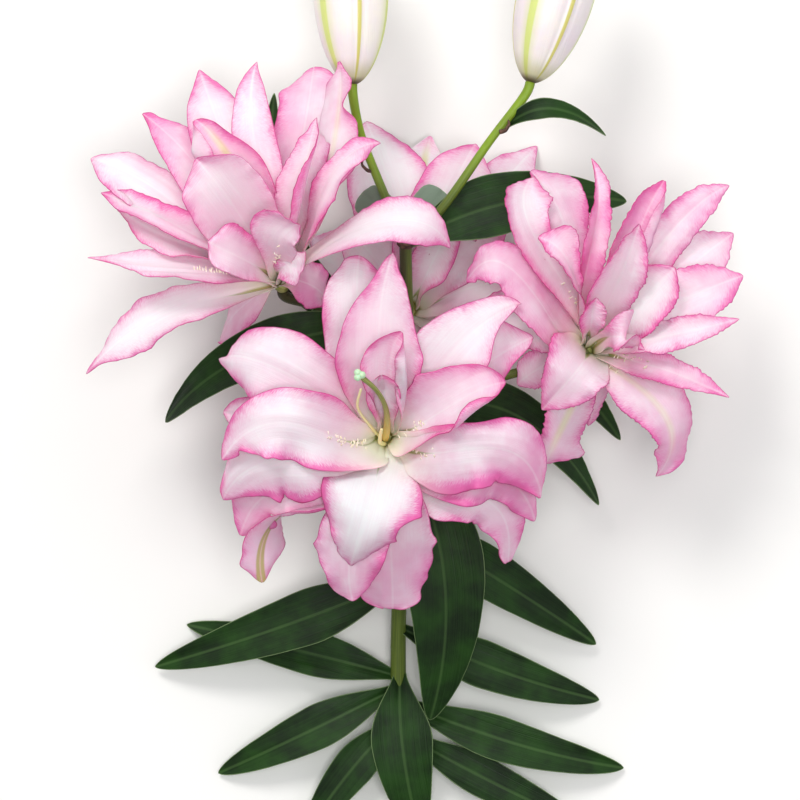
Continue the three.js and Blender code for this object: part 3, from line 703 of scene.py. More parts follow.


# %% [markdown]
# The petals of each bloom are listed one by one, from the outer layer to the inner one: the midrib's three
# points from the bloom's centre, the greatest width, the outline, the cupping, the height of the margin's
# waves and, on a petal that is turned, its turn in degrees at the root and at the tip. They are the petals
# of the frame, and all but a few small inner ones and the rear bloom's back petal lie on their solids.

# %% The petals of the blooms
FRONT_PETALS = [
    ["left_sepal", [[-30, 6, 6], [-60, 10, 8], [-89, 14, 0]], 32, [0.55, 1.6], [0.4, -0.3], 1],
    ["twisted_sepal", [[-30, -26, 2], [-60, -46, 0], [-68, -80, -10]],
     32, [0.66, 1.6], [0.4, 0.2], 1, [0, 150]],
    ["bottom_right_sepal", [[1, -30, 8], [3, -62, 4], [4, -95, -14]], 46, [0.6, 3.0], [0.4, -0.3], 2],
    ["right_low_sepal", [[30, -24, 8], [58, -36, 12], [68, -69, -10]], 34, [0.5, 1.6], [0.4, -0.3], 2],
    ["right_high_sepal", [[22, 16, 4], [50, 37, 10], [81, 55, 4]], 34, [0.56, 1.8], [0.4, -0.2], 1],
    ["top_left_sepal", [[-10, 30, 6], [-15, 66, 16], [-14, 99, 22]], 40, [0.55, 2.6], [0.5, -0.1], 1],
    ["left_low_back_petal", [[-28, -22, 14], [-58, -28, 16], [-80, -54, -4]],
     34, [0.55, 1.8], [0.4, -0.5], 2],
    ["right_low_back_petal", [[30, -18, 18], [60, -20, 22], [82, -46, 2]], 36, [0.5, 1.8], [0.4, -0.5], 2],
    ["bottom_petal", [[-8, -30, 18], [-18, -60, 18], [-18, -90, 2]], 39, [0.6, 2.2], [0.4, -0.4], 2],
    ["left_low_petal", [[-30, -12, 24], [-62, -13, 28], [-89, -34, 8]], 43, [0.55, 2.2], [0.4, -0.7], 2],
    ["right_low_petal", [[30, -8, 28], [63, -6, 34], [85, -33, 12]], 43, [0.5, 2.6], [0.4, -0.6], 3],
    ["right_high_petal", [[20, 25, 18], [43, 53, 26], [74, 73, 16]], 42, [0.6, 2.0], [0.5, -0.2], 2],
    ["left_high_petal", [[-30, 20, 18], [-62, 39, 26], [-91, 43, 12]], 46, [0.6, 1.5], [0.4, -0.4], 2],
    ["top_petal", [[-3, 30, 20], [-3, 64, 34], [4, 100, 38]], 49, [0.48, 1.1], [0.6, 0.2], 1],
    ["left_petal", [[-27, 0, 26], [-57, 8, 38], [-89, -12, 22]], 43, [0.5, 1.6], [0.5, -0.3], 3],
    ["bottom_inner_petal", [[-5, -22, 22], [-11, -44, 31], [-19, -70, 14]], 56, [0.46, 1.5], [0.3, -0.7], 2],
    ["right_inner_petal", [[20, 8, 20], [43, 22, 32], [65, 30, 38]],
     44, [0.5, 1.6], [0.9, 0.8], 1, [-20, -20]],
    ["centre_petaloid", [[4, 20, 22], [3, 40, 36], [9, 57, 44]], 28, [0.55, 1.8], [1.2, 1.0], 1],
    ["heart_petaloid", [[0, 13, 18], [-1, 24, 28], [-2, 34, 34]], 17, [0.6, 2.2], [0.8, 0.5], 1],
]
LEFT_PETALS = [
    ["low_left_sepal", [[-33, -13, 16], [-68, -25, 20], [-106, -55, 8]], 36, [0.6, 1.5], [0.4, -0.3], 2],
    ["back_sepal", [[-10, -9, -14], [-25, -21, -36], [-35, -37, -54]],
     36, [0.6, 1.8], [0.4, -0.4], 2, [-20, -20]],
    ["low_right_sepal", [[10, -3, 2], [20, -8, -4], [28, -15, -14]], 32, [0.55, 2.0], [0.4, -0.4], 2],
    ["right_arching_sepal", [[30, 16, 34], [66, 28, 48], [94, 13, 34]], 37, [0.6, 2.0], [0.4, -0.3], 0],
    ["high_left_petal", [[-24, 31, 8], [-47, 62, 4], [-76, 89, -12]], 36, [0.55, 1.2], [0.4, -0.1], 1],
    ["top_left_petal", [[-16, 38, 8], [-31, 76, 2], [-45, 114, -18]], 38, [0.6, 1.6], [0.4, -0.2], 1],
    ["top_petal", [[6, 36, 6], [13, 78, 2], [19, 115, -14]], 36, [0.6, 2.4], [0.4, -0.2], 1],
    ["top_right_petal", [[20, 36, 12], [31, 74, 12], [33, 117, 4]], 34, [0.6, 1.6], [0.5, -0.2], 3],
    ["left_petal", [[-33, 20, 12], [-70, 47, 14], [-104, 64, -2]], 38, [0.65, 1.8], [0.4, -0.3], 1],
    ["left_frilled_petal", [[-30, 8, 18], [-62, 20, 20], [-90, 38, 8]], 30, [0.6, 1.4], [0.4, 0.1], 3],
    ["folded_petal", [[-30, 12, 24], [-64, 30, 28], [-97, 44, 18]],
     28, [0.6, 1.5], [0.7, 0.4], 1, [-10, -10]],
    ["left_flat_petal", [[-30, 0, 26], [-65, 3, 34], [-103, 8, 36]], 34, [0.5, 1.2], [0.3, 0.2], 1],
    ["top_inner_petal", [[-6, 38, 14], [-14, 80, 20], [-12, 116, 12]], 26, [0.55, 1.3], [0.5, 0.1], 1],
    ["reflexed_petal", [[17, 22, 22], [31, 54, 40], [56, 70, 38]], 26, [0.62, 1.4], [0.5, 0.2], 2, [0, 20]],
    ["hooded_petal", [[-10, 28, 14], [-25, 60, 29], [-45, 83, 30]],
     35, [0.62, 2.2], [0.7, 0.7], 1, [-20, -20]],
    ["right_inner_petal", [[7, 26, 24], [14, 56, 36], [21, 84, 34]],
     26, [0.55, 1.4], [0.9, 0.7], 1, [30, 30]],
    ["broad_petaloid", [[-12, 17, 18], [-27, 40, 38], [-44, 61, 46]],
     45, [0.66, 2.6], [0.4, 0.3], 1, [-80, -80]],
    ["left_petaloid", [[-12, 4, 28], [-25, 10, 44], [-37, 16, 52]],
     30, [0.66, 2.6], [0.5, 0.3], 1, [-80, -80]],
    ["right_petaloid", [[0, 10, 36], [3, 20, 51], [13, 24, 64]], 25, [0.66, 2.8], [0.6, 0.3], 1, [180, 110]],
    ["small_petaloid", [[0, 1, 26], [7, 5, 31], [15, 11, 34]], 11, [0.6, 2.0], [0.4, 0.2], 1, [80, 147]],
]
RIGHT_PETALS = [
    ["bottom_back_sepal", [[0, -14, 0], [1, -29, -6], [-2, -45, -16]], 18, [0.6, 2.2], [0.4, -0.2], 0],
    ["bottom_sepal", [[-5, -18, 4], [-16, -42, 2], [-26, -66, -12]], 25, [0.72, 2.4], [0.4, -0.3], 1],
    ["low_left_sepal", [[-12, -4, 2], [-28, -12, 2], [-42, -22, -8]], 22, [0.6, 2.2], [0.5, 0.3], 2],
    ["left_back_sepal", [[-20, 6, 6], [-42, 16, 6], [-62, 24, -8]], 34, [0.6, 2.0], [0.4, -0.4], 1],
    ["right_low_sepal", [[18, -13, 0], [36, -25, -4], [50, -41, -18]], 24, [0.55, 1.8], [0.4, -0.4], 2],
    ["right_back_sepal", [[24, 20, 8], [51, 42, 8], [78, 62, -6]], 34, [0.6, 1.8], [0.4, -0.3], 1],
    ["top_right_sepal", [[20, 32, 12], [46, 66, 14], [75, 88, 4]], 24, [0.6, 1.6], [0.4, -0.2], 1],
    ["top_left_sepal", [[-10, 30, 12], [-17, 66, 16], [-35, 96, 8]], 27, [0.64, 2.6], [0.4, 0.2], 1],
    ["right_petal", [[22, 11, 16], [52, 26, 20], [82, 38, 12]], 34, [0.6, 1.8], [0.4, -0.2], 2],
    ["low_right_petal", [[17, -18, 16], [40, -41, 16], [35, -73, -2]], 32, [0.42, 2.0], [0.4, -0.4], 3],
    ["top_right_petal", [[10, 29, 18], [23, 61, 26], [38, 90, 20]], 28, [0.6, 1.6], [0.9, 0.8], 1],
    ["left_petal", [[-23, 12, 20], [-46, 41, 30], [-71, 35, 20]], 33, [0.46, 2.4], [0.3, -0.3], 2],
    ["high_left_petal", [[-13, 28, 16], [-35, 62, 26], [-34, 92, 18]], 30, [0.68, 2.2], [0.6, 0.5], 1],
    ["right_flat_petal", [[22, -9, 18], [47, -17, 20], [74, -29, 16]], 17, [0.4, 1.2], [0.4, 0.2], 1],
    ["right_mid_petal", [[20, 1, 20], [46, 6, 26], [79, 14, 22]], 20, [0.55, 1.8], [0.5, 0.2], 2],
    ["top_narrow_petal", [[-6, 33, 22], [1, 67, 32], [-2, 102, 24]], 17, [0.6, 1.4], [1.0, 0.8], 1],
    ["low_left_petal", [[-6, -9, 22], [-15, -20, 28], [-29, -36, 18]], 42, [0.42, 1.3], [0.3, -0.3], 1],
    ["right_inner_petal", [[14, 12, 17], [29, 27, 27], [43, 42, 32]], 32, [0.58, 2.4], [0.6, 0.3], 1],
    ["top_inner_petal", [[6, 20, 28], [15, 43, 41], [23, 65, 46]], 28, [0.5, 1.6], [0.7, 0.5], 1],
    ["left_inner_petal", [[-8, 20, 28], [-14, 43, 42], [-32, 58, 44]],
     24, [0.7, 2.0], [0.6, 0.4], 1, [70, 0]],
    ["heart_petaloid", [[-3, 9, 32], [-2, 17, 42], [0, 25, 44]], 14, [0.6, 2.0], [0.8, 0.5], 1, [-80, -80]],
    ["right_small_petaloid", [[8, 4, 38], [17, 2, 43], [26, -3, 42]],
     13, [0.5, 1.4], [0.4, 0.2], 1, [180, 80]],
]
REAR_PETALS = [
    ["top_back_petal", [[3, 34, -10], [6, 68, -20], [12, 98, -30]], 30, [0.6, 1.5], [0.4, 0.2], 0],
    ["left_high_sepal", [[-18, 13, 0], [-38, 27, -10], [-56, 41, -41]], 38, [0.55, 1.8], [0.4, -0.3], 1],
    ["bottom_left_sepal", [[-13, -15, 0], [-26, -36, -12], [-37, -62, -41]], 34, [0.6, 1.8], [0.4, -0.4], 0],
    ["bottom_right_sepal", [[15, -17, 0], [28, -40, -12], [38, -70, -41]], 34, [0.6, 1.8], [0.4, -0.4], 0],
    ["right_low_sepal", [[22, -11, 0], [43, -26, -12], [55, -52, -41]], 32, [0.55, 1.8], [0.4, -0.4], 1],
    ["right_high_sepal", [[22, 30, -2], [46, 62, -10], [73, 93, -41]], 36, [0.6, 1.5], [0.4, -0.2], 1],
    ["top_left_sepal", [[-4, 31, 4], [-11, 67, 2], [-25, 107, -41]], 48, [0.6, 2.2], [0.4, -0.2], 1],
    ["right_petal", [[22, 6, 10], [42, 12, 14], [62, 12, 4]], 34, [0.55, 2.0], [0.4, -0.2], 2],
    ["right_high_petal", [[14, 20, 10], [32, 42, 14], [50, 62, 6]], 42, [0.55, 2.0], [0.4, -0.1], 2],
    ["top_right_petal", [[10, 30, 10], [22, 62, 12], [37, 92, 0]], 50, [0.6, 2.6], [0.4, 0], 1],
    ["left_inner_petal", [[-10, 14, 13], [-22, 30, 17], [-34, 42, 10]], 34, [0.55, 2.0], [0.5, 0.1], 2],
    ["right_inner_petal", [[7, 13, 13], [16, 31, 18], [24, 50, 16]], 26, [0.55, 1.8], [0.8, 0.5], 2],
    ["top_inner_petal", [[1, 18, 13], [2, 36, 16], [4, 54, 12]], 26, [0.55, 1.8], [0.8, 0.5], 1],
]
BLOOMS = {
    "front": {"centre": Vector((-8, 227, 105)), "axis": Vector((0, -0.1, 1)), "petals": FRONT_PETALS},
    "left": {"centre": Vector((-66.5, 317, 95)), "axis": Vector((-0.15, 0.72, 0.68)), "petals": LEFT_PETALS},
    "right": {"centre": Vector((107, 278, 85)), "axis": Vector((0.3, 0.25, 0.92)), "petals": RIGHT_PETALS},
    "rear": {"centre": Vector((5.5, 300, 42)), "axis": Vector((0.1, 0.3, 0.95)), "petals": REAR_PETALS},
}

# %% [markdown]
# No two petals are alike, so most have marks of their own. A mark pushes one margin, or both with side 0,
# around a place t along the petal: it gives the side, t, the spread, then how far out and how far up in
# millimetres, how far the margin curls over in radians, how much pinker it is, and how far it is folded
# over flat, in radians. The last ones are left off where they are 0. Side 1 is on the right on the way to
# the tip. A tone tells how pink the whole petal is, and a rib how much of a cream rib shows along its
# middle.

# %% Marks on the petals
FRONT_MARKS = {
    "left_sepal": [(0, 0.92, 0.05, 1.5, 2)],
    "twisted_sepal": [(-1, 0.42, 0.12, 12), (1, 0.83, 0.12, 10), (-1, 0.91, 0.03, 4)],
    "bottom_right_sepal": [
        (1, 0.97, 0.06, 9), (-1, 0.97, 0.045, 8), (-1, 0.62, 0.03, 3), (-1, 0.8, 0.03, -1.5),
    ],
    "right_low_sepal": [(1, 0.36, 0.09, 5), (0, 0.97, 0.05, 4), (1, 0.62, 0.02, -1.5), (1, 0.8, 0.05, 2)],
    "right_high_sepal": [(-1, 0.83, 0.1, 11), (1, 0.85, 0.1, -4, 2), (1, 0.6, 0.15, 0, -3, -0.6, 0.8)],
    "top_left_sepal": [
        (-1, 0.9, 0.05, -1), (-1, 0.5, 0.02, 1.5), (-1, 0.97, 0.03, 2), (-1, 0.7, 0.1, 0, 2),
    ],
    "left_low_back_petal": [
        (1, 0.9, 0.05, 5.5, -3, 0, 1), (-1, 0.93, 0.06, 9, -3, 0, 1), (-1, 0.83, 0.025, -3),
    ],
    "right_low_back_petal": [
        (1, 0.5, 0.1, 1, 2, 0, 1), (1, 0.93, 0.05, 3, -2, 0, 0.6), (1, 0.7, 0.04, -1.5, 2),
    ],
    "bottom_petal": [
        (1, 0.84, 0.05, -3), (1, 0.7, 0.025, 2.5), (0, 0.95, 0.04, 2), (-1, 0.8, 0.2, 0, 0, 0, 1),
    ],
    "left_low_petal": [
        (-1, 0.48, 0.1, 3.5, -2, -0.5, 1), (-1, 0.71, 0.045, 4, 0, 0, 0.6), (-1, 0.62, 0.012, -2.5),
        (-1, 0.6, 0.4, 0, 0, 0, 1.2),
    ],
    "right_low_petal": [
        (1, 0.33, 0.12, 5, -2, 0, 1.6), (-1, 0.5, 0.2, -7, 1, 0.7, 1), (1, 0.72, 0.05, -2, 3, 0, 0.6),
        (1, 0.65, 0.35, 0, 0, 0, 3),
    ],
    "right_high_petal": [
        (1, 0.85, 0.16, -9, 2), (-1, 0.34, 0.18, 4), (-1, 0.8, 0.14, -4), (1, 0.5, 0.08, 2, -2),
    ],
    "left_high_petal": [(1, 0.95, 0.07, -8), (-1, 0.82, 0.09, 2, -4, -0.9, 1.2), (1, 0.7, 0.1, 0, 2)],
    "top_petal": [
        (-1, 0.85, 0.12, -5), (1, 0.93, 0.04, -1.5), (-1, 0.5, 0.2, 0, 2), (1, 0.6, 0.2, 0, 1),
        (1, 0.45, 0.2, 0, 0, 0, 0.5),
    ],
    "left_petal": [
        (-1, 0.8, 0.06, 3), (-1, 0.52, 0.06, -2), (-1, 0.91, 0.02, -3, 2, 1, 1),
        (-1, 0.36, 0.09, 0, 3, 0, 1.4), (-1, 0.15, 0.13, 0, 12, 0, 2.4), (-1, 0.6, 0.4, 0, 0, 0, 0.7),
    ],
    "bottom_inner_petal": [
        (0, 0.96, 0.03, 3), (1, 0.985, 0.008, -2), (-1, 0.52, 0.04, 2), (-1, 0.66, 0.09, -4),
        (-1, 0.78, 0.02, 2), (-1, 0.55, 0.3, 0, 0, 0, 2.4), (1, 0.22, 0.14, -4, -10),
        (1, 0.6, 0.3, 0, 0, 0, 1.4),
    ],
    "right_inner_petal": [
        (1, 0.42, 0.12, -8), (1, 0.15, 0.07, 4), (1, 0.74, 0.16, 3, 0, 3.3, 1.5),
        (-1, 0.5, 0.05, 2, 2),
    ],
    "centre_petaloid": [(1, 0.62, 0.3, 4, 0, 0, -0.6, 2.8), (-1, 0.72, 0.2, 5, 0, -0.5, 0.3)],
    "heart_petaloid": [(-1, 0.75, 0.25, 2, 1, 0.2, 0.3), (1, 0.8, 0.25, 2, 1)],
}
LEFT_MARKS = {
    "back_sepal": [(0, 0.5, 0.3, 3, 0, 0, 1)],
    "low_left_sepal": [(1, 0.5, 0.1, 2.5), (-1, 0.6, 0.1, 1, 2)],
    "low_right_sepal": [(1, 0.8, 0.2, -4, 0, 0, 1), (-1, 0.8, 0.2, 0, 0, 0, 1)],
    "right_arching_sepal": [(-1, 0.6, 0.2, 0, 1, 0.3, 0.6), (1, 0.6, 0.3, -1, 0, 0, -0.5)],
    "high_left_petal": [(1, 0.8, 0.1, 2), (0, 0.97, 0.03, 1, 2)],
    "top_petal": [(-1, 0.9, 0.08, 6), (1, 0.92, 0.1, 10), (-1, 0.7, 0.1, 0, 2), (0, 0.98, 0.03, 3)],
    "top_right_petal": [
        (-1, 0.9, 0.09, 15), (-1, 0.7, 0.12, 5), (1, 0.8, 0.045, -6, 2), (1, 0.6, 0.06, 3),
        (1, 0.92, 0.05, 3),
    ],
    "left_petal": [(1, 0.45, 0.12, -7), (1, 0.88, 0.08, 4)],
    "folded_petal": [(1, 0.7, 0.2, -5, 2, 0.8, 0.8)],
    "left_flat_petal": [(-1, 0.85, 0.15, -5)],
    "reflexed_petal": [(-1, 0.6, 0.2, -5, 1), (1, 0.62, 0.15, 5, 0, 0, 0.5)],
    "hooded_petal": [(1, 0.82, 0.12, -7), (-1, 0.84, 0.17, 14, 0, 0, -1.2, 2.7)],
    "right_inner_petal": [(1, 0.5, 0.3, 4, 0, 2.2, 1.2), (-1, 0.9, 0.04, -2)],
    "broad_petaloid": [(-1, 0.5, 0.2, 1, 1), (0, 0.6, 0.5, 0, 0, 0, -0.4)],
    "left_petaloid": [(1, 0.7, 0.2, 1, 0, 0, 0.3), (-1, 0.6, 0.3, -2, 0, 0, -0.4)],
    "right_petaloid": [(-1, 0.68, 0.2, 5, 0, 0, 0.3), (1, 0.7, 0.2, -4), (0, 0.5, 0.3, 1, 0, -0.3, -0.8)],
    "small_petaloid": [(1, 0.63, 0.2, 8), (0, 0.5, 0.4, 0, 0, 0, -0.6)],
}
RIGHT_MARKS = {
    "bottom_back_sepal": [(-1, 0.8, 0.15, -3)],
    "bottom_sepal": [(1, 0.8, 0.1, -3), (-1, 0.88, 0.08, 9), (1, 0.96, 0.04, 2)],
    "left_petal": [
        (1, 0.94, 0.06, 2, -2), (-1, 0.66, 0.08, -3, 2), (-1, 0.9, 0.07, 4),
        (1, 0.6, 0.1, 1, 2, 0, 0.8), (0, 0.98, 0.03, 3),
    ],
    "high_left_petal": [
        (-1, 0.95, 0.05, -3), (1, 0.9, 0.1, 5, 2), (1, 0.6, 0.14, -6, 3), (1, 0.42, 0.12, 0, 0, 0, 2),
        (-1, 0.75, 0.1, 0, 0, 0.4, 0.8),
    ],
    "top_left_sepal": [(1, 0.83, 0.14, 6), (1, 0.6, 0.1, 0, 0, 0, 0.8), (-1, 0.45, 0.22, -5, -3)],
    "top_narrow_petal": [(-1, 0.85, 0.1, -2.5)],
    "top_right_petal": [(1, 0.72, 0.26, 4, 0, 0, -1, 2.7)],
    "top_inner_petal": [
        (1, 0.36, 0.25, 1), (-1, 0.4, 0.25, 6, 0, 0, 0.8), (0, 0.5, 0.2, 0, 0, -0.3),
        (1, 0.4, 0.4, 0, 0, 0, 1),
    ],
    "left_inner_petal": [(1, 0.82, 0.09, 5), (1, 0.55, 0.16, -5, 0, 0.4, 0.8)],
    "low_left_petal": [(-1, 0.45, 0.15, -4), (1, 0.45, 0.15, 1, 2, 0, 1.2), (1, 0.2, 0.1, 3, 0, 0, 1)],
    "low_right_petal": [(-1, 0.75, 0.2, 4), (-1, 0.92, 0.05, 5), (1, 0.45, 0.1, 0, 0, 0, 0.8)],
    "right_inner_petal": [(1, 0.6, 0.3, 0, 0, 0, 1.8), (-1, 0.8, 0.2, 0, 0, 0, 1)],
    "heart_petaloid": [(-1, 0.6, 0.3, 1, 0, -0.4, 1.4), (1, 0.6, 0.3, 1, 0, -0.4, -0.9)],
    "right_small_petaloid": [(-1, 0.58, 0.15, 11, 0, -0.3, -0.6), (1, 0.6, 0.3, 2, 1)],
    "right_flat_petal": [(-1, 0.5, 0.3, 3, 0, 0, 0.5), (1, 0.4, 0.3, 2)],
}
REAR_MARKS = {
    "top_back_petal": [(0, 0.75, 0.4, 1, 0, 0, -2.4)],
    "left_high_sepal": [(1, 0.8, 0.1, 2, 2)],
    "top_left_sepal": [(1, 0.52, 0.07, -9, 3), (1, 0.7, 0.2, 0, 4, 0, 1)],
    "right_inner_petal": [(1, 0.3, 0.15, -4), (1, 0.47, 0.08, 2), (1, 0.35, 0.3, 0, 2, 0.9, 1.2)],
    "top_inner_petal": [(1, 0.4, 0.25, -5, -3)],
    "right_high_petal": [(-1, 0.5, 0.2, 2, 2), (-1, 0.85, 0.12, 6, 2, 0, 1), (1, 0.7, 0.2, 2)],
    "top_right_petal": [(-1, 0.75, 0.3, -6, 0, 0, 0.6)],
}
FRONT_TONES = {
    "left_sepal": 0.3,
    "twisted_sepal": 0.35,
    "bottom_right_sepal": 0.6,
    "right_low_sepal": 0.35,
    "right_high_sepal": 0.5,
    "top_left_sepal": 0.1,
    "left_low_back_petal": 0.6,
    "right_low_back_petal": 0.8,
    "bottom_petal": 0.55,
    "left_low_petal": 0.2,
    "right_low_petal": 0.65,
    "right_high_petal": 0.15,
    "left_high_petal": 0.35,
    "top_petal": 0.25,
    "left_petal": 0.2,
    "bottom_inner_petal": 0.05,
    "right_inner_petal": 0.45,
    "centre_petaloid": 0.1,
    "heart_petaloid": 0.05,
}
LEFT_TONES = {
    "back_sepal": 0.8,
    "low_left_sepal": 0.05,
    "low_right_sepal": 0.95,
    "right_arching_sepal": 0.15,
    "high_left_petal": 0.75,
    "top_left_petal": 0.35,
    "top_petal": 0.7,
    "top_right_petal": 0.55,
    "left_petal": 0.25,
    "left_flat_petal": 0.15,
    "folded_petal": 0.5,
    "top_inner_petal": 0.2,
    "reflexed_petal": 0.35,
    "hooded_petal": 0.5,
    "right_inner_petal": 0.35,
    "broad_petaloid": 0.15,
    "left_petaloid": 0.2,
    "right_petaloid": 0.05,
    "small_petaloid": 0,
}
RIGHT_TONES = {
    "left_petal": 0.75,
    "high_left_petal": 0.35,
    "top_left_sepal": 0.7,
    "low_left_petal": 0.35,
    "low_right_petal": 0.5,
    "top_inner_petal": 0,
    "right_inner_petal": 0.05,
    "left_inner_petal": 0.3,
    "top_narrow_petal": 0.85,
    "top_right_petal": 0.7,
    "right_flat_petal": 0.75,
    "bottom_sepal": 0.3,
    "heart_petaloid": 0.1,
    "right_small_petaloid": 0.3,
}
REAR_TONES = {
    "top_back_petal": 0.05,
    "top_right_petal": 0.35,
    "right_high_petal": 0.6,
    "left_inner_petal": 0.2,
    "right_inner_petal": 0.2,
    "top_left_sepal": 0.15,
}
RIBS = {
    ("left", "hooded_petal"): 0.8,
    ("left", "top_right_petal"): 0.35,
    ("right", "bottom_sepal"): 0.5,
    ("right", "low_right_petal"): 0.3,
    ("rear", "top_back_petal"): 1.4,
}

# %% [markdown]
# One bloom is one piece, because its petals grow together at the receptacle. A petal that has no tone of
# its own gets a seeded random one, and the outer petals have the green stripes on their backs. The right
# bloom's petals have small teeth along their margins, so its grid has more rows.

# %% Blooms
PETAL_ROOT_RADIUS = 3.6
PETAL_ROOT_DEPTH = 5
PETAL_ROOT_RISE = 4
PETAL_CLAW = 0.2
PETAL_THICKNESS = 0.8
PETAL_COLUMNS = 28
PETAL_ROWS = 58
SERRATED_COLUMNS = 22
SERRATED_ROWS = 95
OUTER_SHARE = 0.34
INNER_STRIPES = 0.15
WAVE_SCALE = 1.15
FIRST_TONE = 0.25
TONE_GROWTH = 0.35
TONE_SPREAD = 0.2
BASE_MARK = (0, 0.08, 0.1, 3, 0, 0.7)


def petal_blade(side, row, layer, bloom, tone):
    name, midrib, width, outline, cup, wave, roll = (*row, [0, 0])[:7]
    centre, axis = bloom["centre"], bloom["axis"].normalized()
    places = [Vector(place) for place in midrib]
    outward = (places[0] - axis * places[0].dot(axis)).normalized()
    root = outward * PETAL_ROOT_RADIUS + axis * (PETAL_ROOT_RISE * layer - PETAL_ROOT_DEPTH)
    return {
        "midrib": [centre + place for place in (root, *places)],
        "axis": axis,
        "width": width,
        "outline": (PETAL_CLAW, *outline),
        "cup": cup,
        "roll": roll,
        "wave": wave * WAVE_SCALE,
        "phase": 2.4 * width + 7 * layer,
        "ragged": bloom["ragged"],
        "serrated": bloom["serrated"],
        "frill": 1.4,
        "swell": 1.6,
        "pleat": 0.35,
        "furrow": 1.1,
        "point": bloom["point"],
        "marks": [BASE_MARK, *bloom["marks"].get(name, [])],
        "tone": tone,
        "keel": 1.0 if layer < OUTER_SHARE else INNER_STRIPES,
        "rib": RIBS.get((side, name), 0),
    }


def make_bloom(side, bloom):
    draw = random.Random(side)
    bm = mesh_with(BLADE_VALUES)
    count = len(bloom["petals"])
    grid = (SERRATED_COLUMNS, SERRATED_ROWS) if bloom["serrated"] else (PETAL_COLUMNS, PETAL_ROWS)
    for i, row in enumerate(bloom["petals"]):
        layer = i / (count - 1)
        drawn = FIRST_TONE + TONE_GROWTH * layer + draw.uniform(-TONE_SPREAD, TONE_SPREAD)
        tone = bloom["tones"].get(row[0], min(max(drawn, 0), 1))
        add_blade(bm, petal_blade(side, row, layer, bloom, tone), *grid)
    piece = finished(bm, f"petals_{side}", "petal", [f"bloom_{side}"], PETAL_FACE, PETAL_BACK)
    given_thickness(piece, PETAL_THICKNESS, margin_share=0.4, margin_width=4)
    print(piece.name, count, "petals")


for side, marks, tones, ragged, serrated, point in (
    ("front", FRONT_MARKS, FRONT_TONES, 0.055, 0, 0.2),
    ("left", LEFT_MARKS, LEFT_TONES, 0.05, 0, 0.6),
    ("right", RIGHT_MARKS, RIGHT_TONES, 0.1, 1.1, 0.45),
    ("rear", REAR_MARKS, REAR_TONES, 0.05, 0, 0.5),
):
    BLOOMS[side].update(marks=marks, tones=tones, ragged=ragged, serrated=serrated, point=point)
for side, bloom in BLOOMS.items():
    make_bloom(side, bloom)

# %% [markdown]
# A petal grows from the receptacle, the short green cone at the end of the stalk. It is a profile that is
# spun once round, which is what a lathe or a spin does best for any round part.

# %% Receptacles
RECEPTACLE_DEPTH = 12
RECEPTACLE_PROFILE = [(0, -12), (2.6, -12), (3.4, -11), (5.2, -7.4), (5.9, -5), (5, -4.2), (0, -4.6)]
RECEPTACLE_STEPS = 24


def upright_to(axis, place):
    """The transform that stands something made round +Z at a place along an axis."""
    return Matrix.Translation(place) @ axis.to_track_quat("Z", "Y").to_matrix().to_4x4()


def spun(profile, steps):
    """A closed mesh of a profile of (radius, height) points in millimetres, spun round Z."""
    bm = bmesh.new()
    verts = [bm.verts.new((r * MM, 0, z * MM)) for r, z in profile]
    edges = [bm.edges.new(pair) for pair in zip(verts, verts[1:])]
    bmesh.ops.spin(
        bm,
        geom=verts + edges,
        axis=(0, 0, 1),
        cent=(0, 0, 0),
        steps=steps,
        angle=2 * math.pi,
        use_merge=True,
    )
    bmesh.ops.remove_doubles(bm, verts=bm.verts, dist=1e-6)
    bmesh.ops.recalc_face_normals(bm, faces=bm.faces)
    return bm


def plain_material(name, low, high, size, roughness, relief=0.0):
    """One colour that goes over into another in soft patches, as high as relief on a rough surface."""
    material, tree, shader = new_material(name)
    uneven = uneven_value(tree, size)
    sockets = {"Base Color": mixed(tree, uneven, tint(low), tint(high)), "Roughness": roughness}
    if relief:
        sockets["Normal"] = bumped(tree, uneven, 0.5, relief)
    connect(tree, shader, sockets)
    return material


def make_receptacle(side, bloom):
    bm = spun(RECEPTACLE_PROFILE, RECEPTACLE_STEPS)
    place = upright_to(bloom["axis"].normalized(), bloom["centre"] * MM)
    bmesh.ops.transform(bm, matrix=place, verts=bm.verts)
    finished(bm, f"receptacle_{side}", "petal", [f"bloom_{side}"], RECEPTACLE_GREEN)


RECEPTACLE_GREEN = plain_material("receptacle_green", "7d8a36", "b3b36a", 0.003, 0.5)
for side, bloom in BLOOMS.items():
    make_receptacle(side, bloom)

# %% [markdown]
# Near the throat some petals carry papillae, small pale points beside the green furrow. They are cones that
# stand on the fine blade at seeded random places and lean over the furrow. Each row names a petal, the
# stretch along it and how many papillae it has.

# %% Papillae
PAPILLAE = [
    ["front", "left_petal", 0.1, 0.4, 30],
    ["front", "right_inner_petal", 0.1, 0.34, 16],
    ["front", "right_low_petal", 0.1, 0.3, 12],
    ["front", "left_high_petal", 0.12, 0.36, 12],
    ["left", "left_flat_petal", 0.12, 0.5, 34],
    ["left", "right_petaloid", 0.2, 0.5, 8],
    ["right", "left_petal", 0.1, 0.2, 5],
    ["right", "high_left_petal", 0.2, 0.4, 12],
    ["right", "right_flat_petal", 0.16, 0.45, 16],
    ["right", "low_right_petal", 0.14, 0.3, 10],
]
PAPILLA_RADIUS = 0.5
PAPILLA_TIP_SHARE = 0.3
PAPILLA_HEIGHTS = (1.6, 3.4)
PAPILLA_OFFSETS = (0.9, 2.8)
PAPILLA_SIDES = 6
PAPILLA_RISE = 1.6
PAPILLA_LEAN = 0.7
PAPILLA_AHEAD = 0.4
PAPILLA_MIDDLE = 0.4
PAPILLA_STEP = 0.02


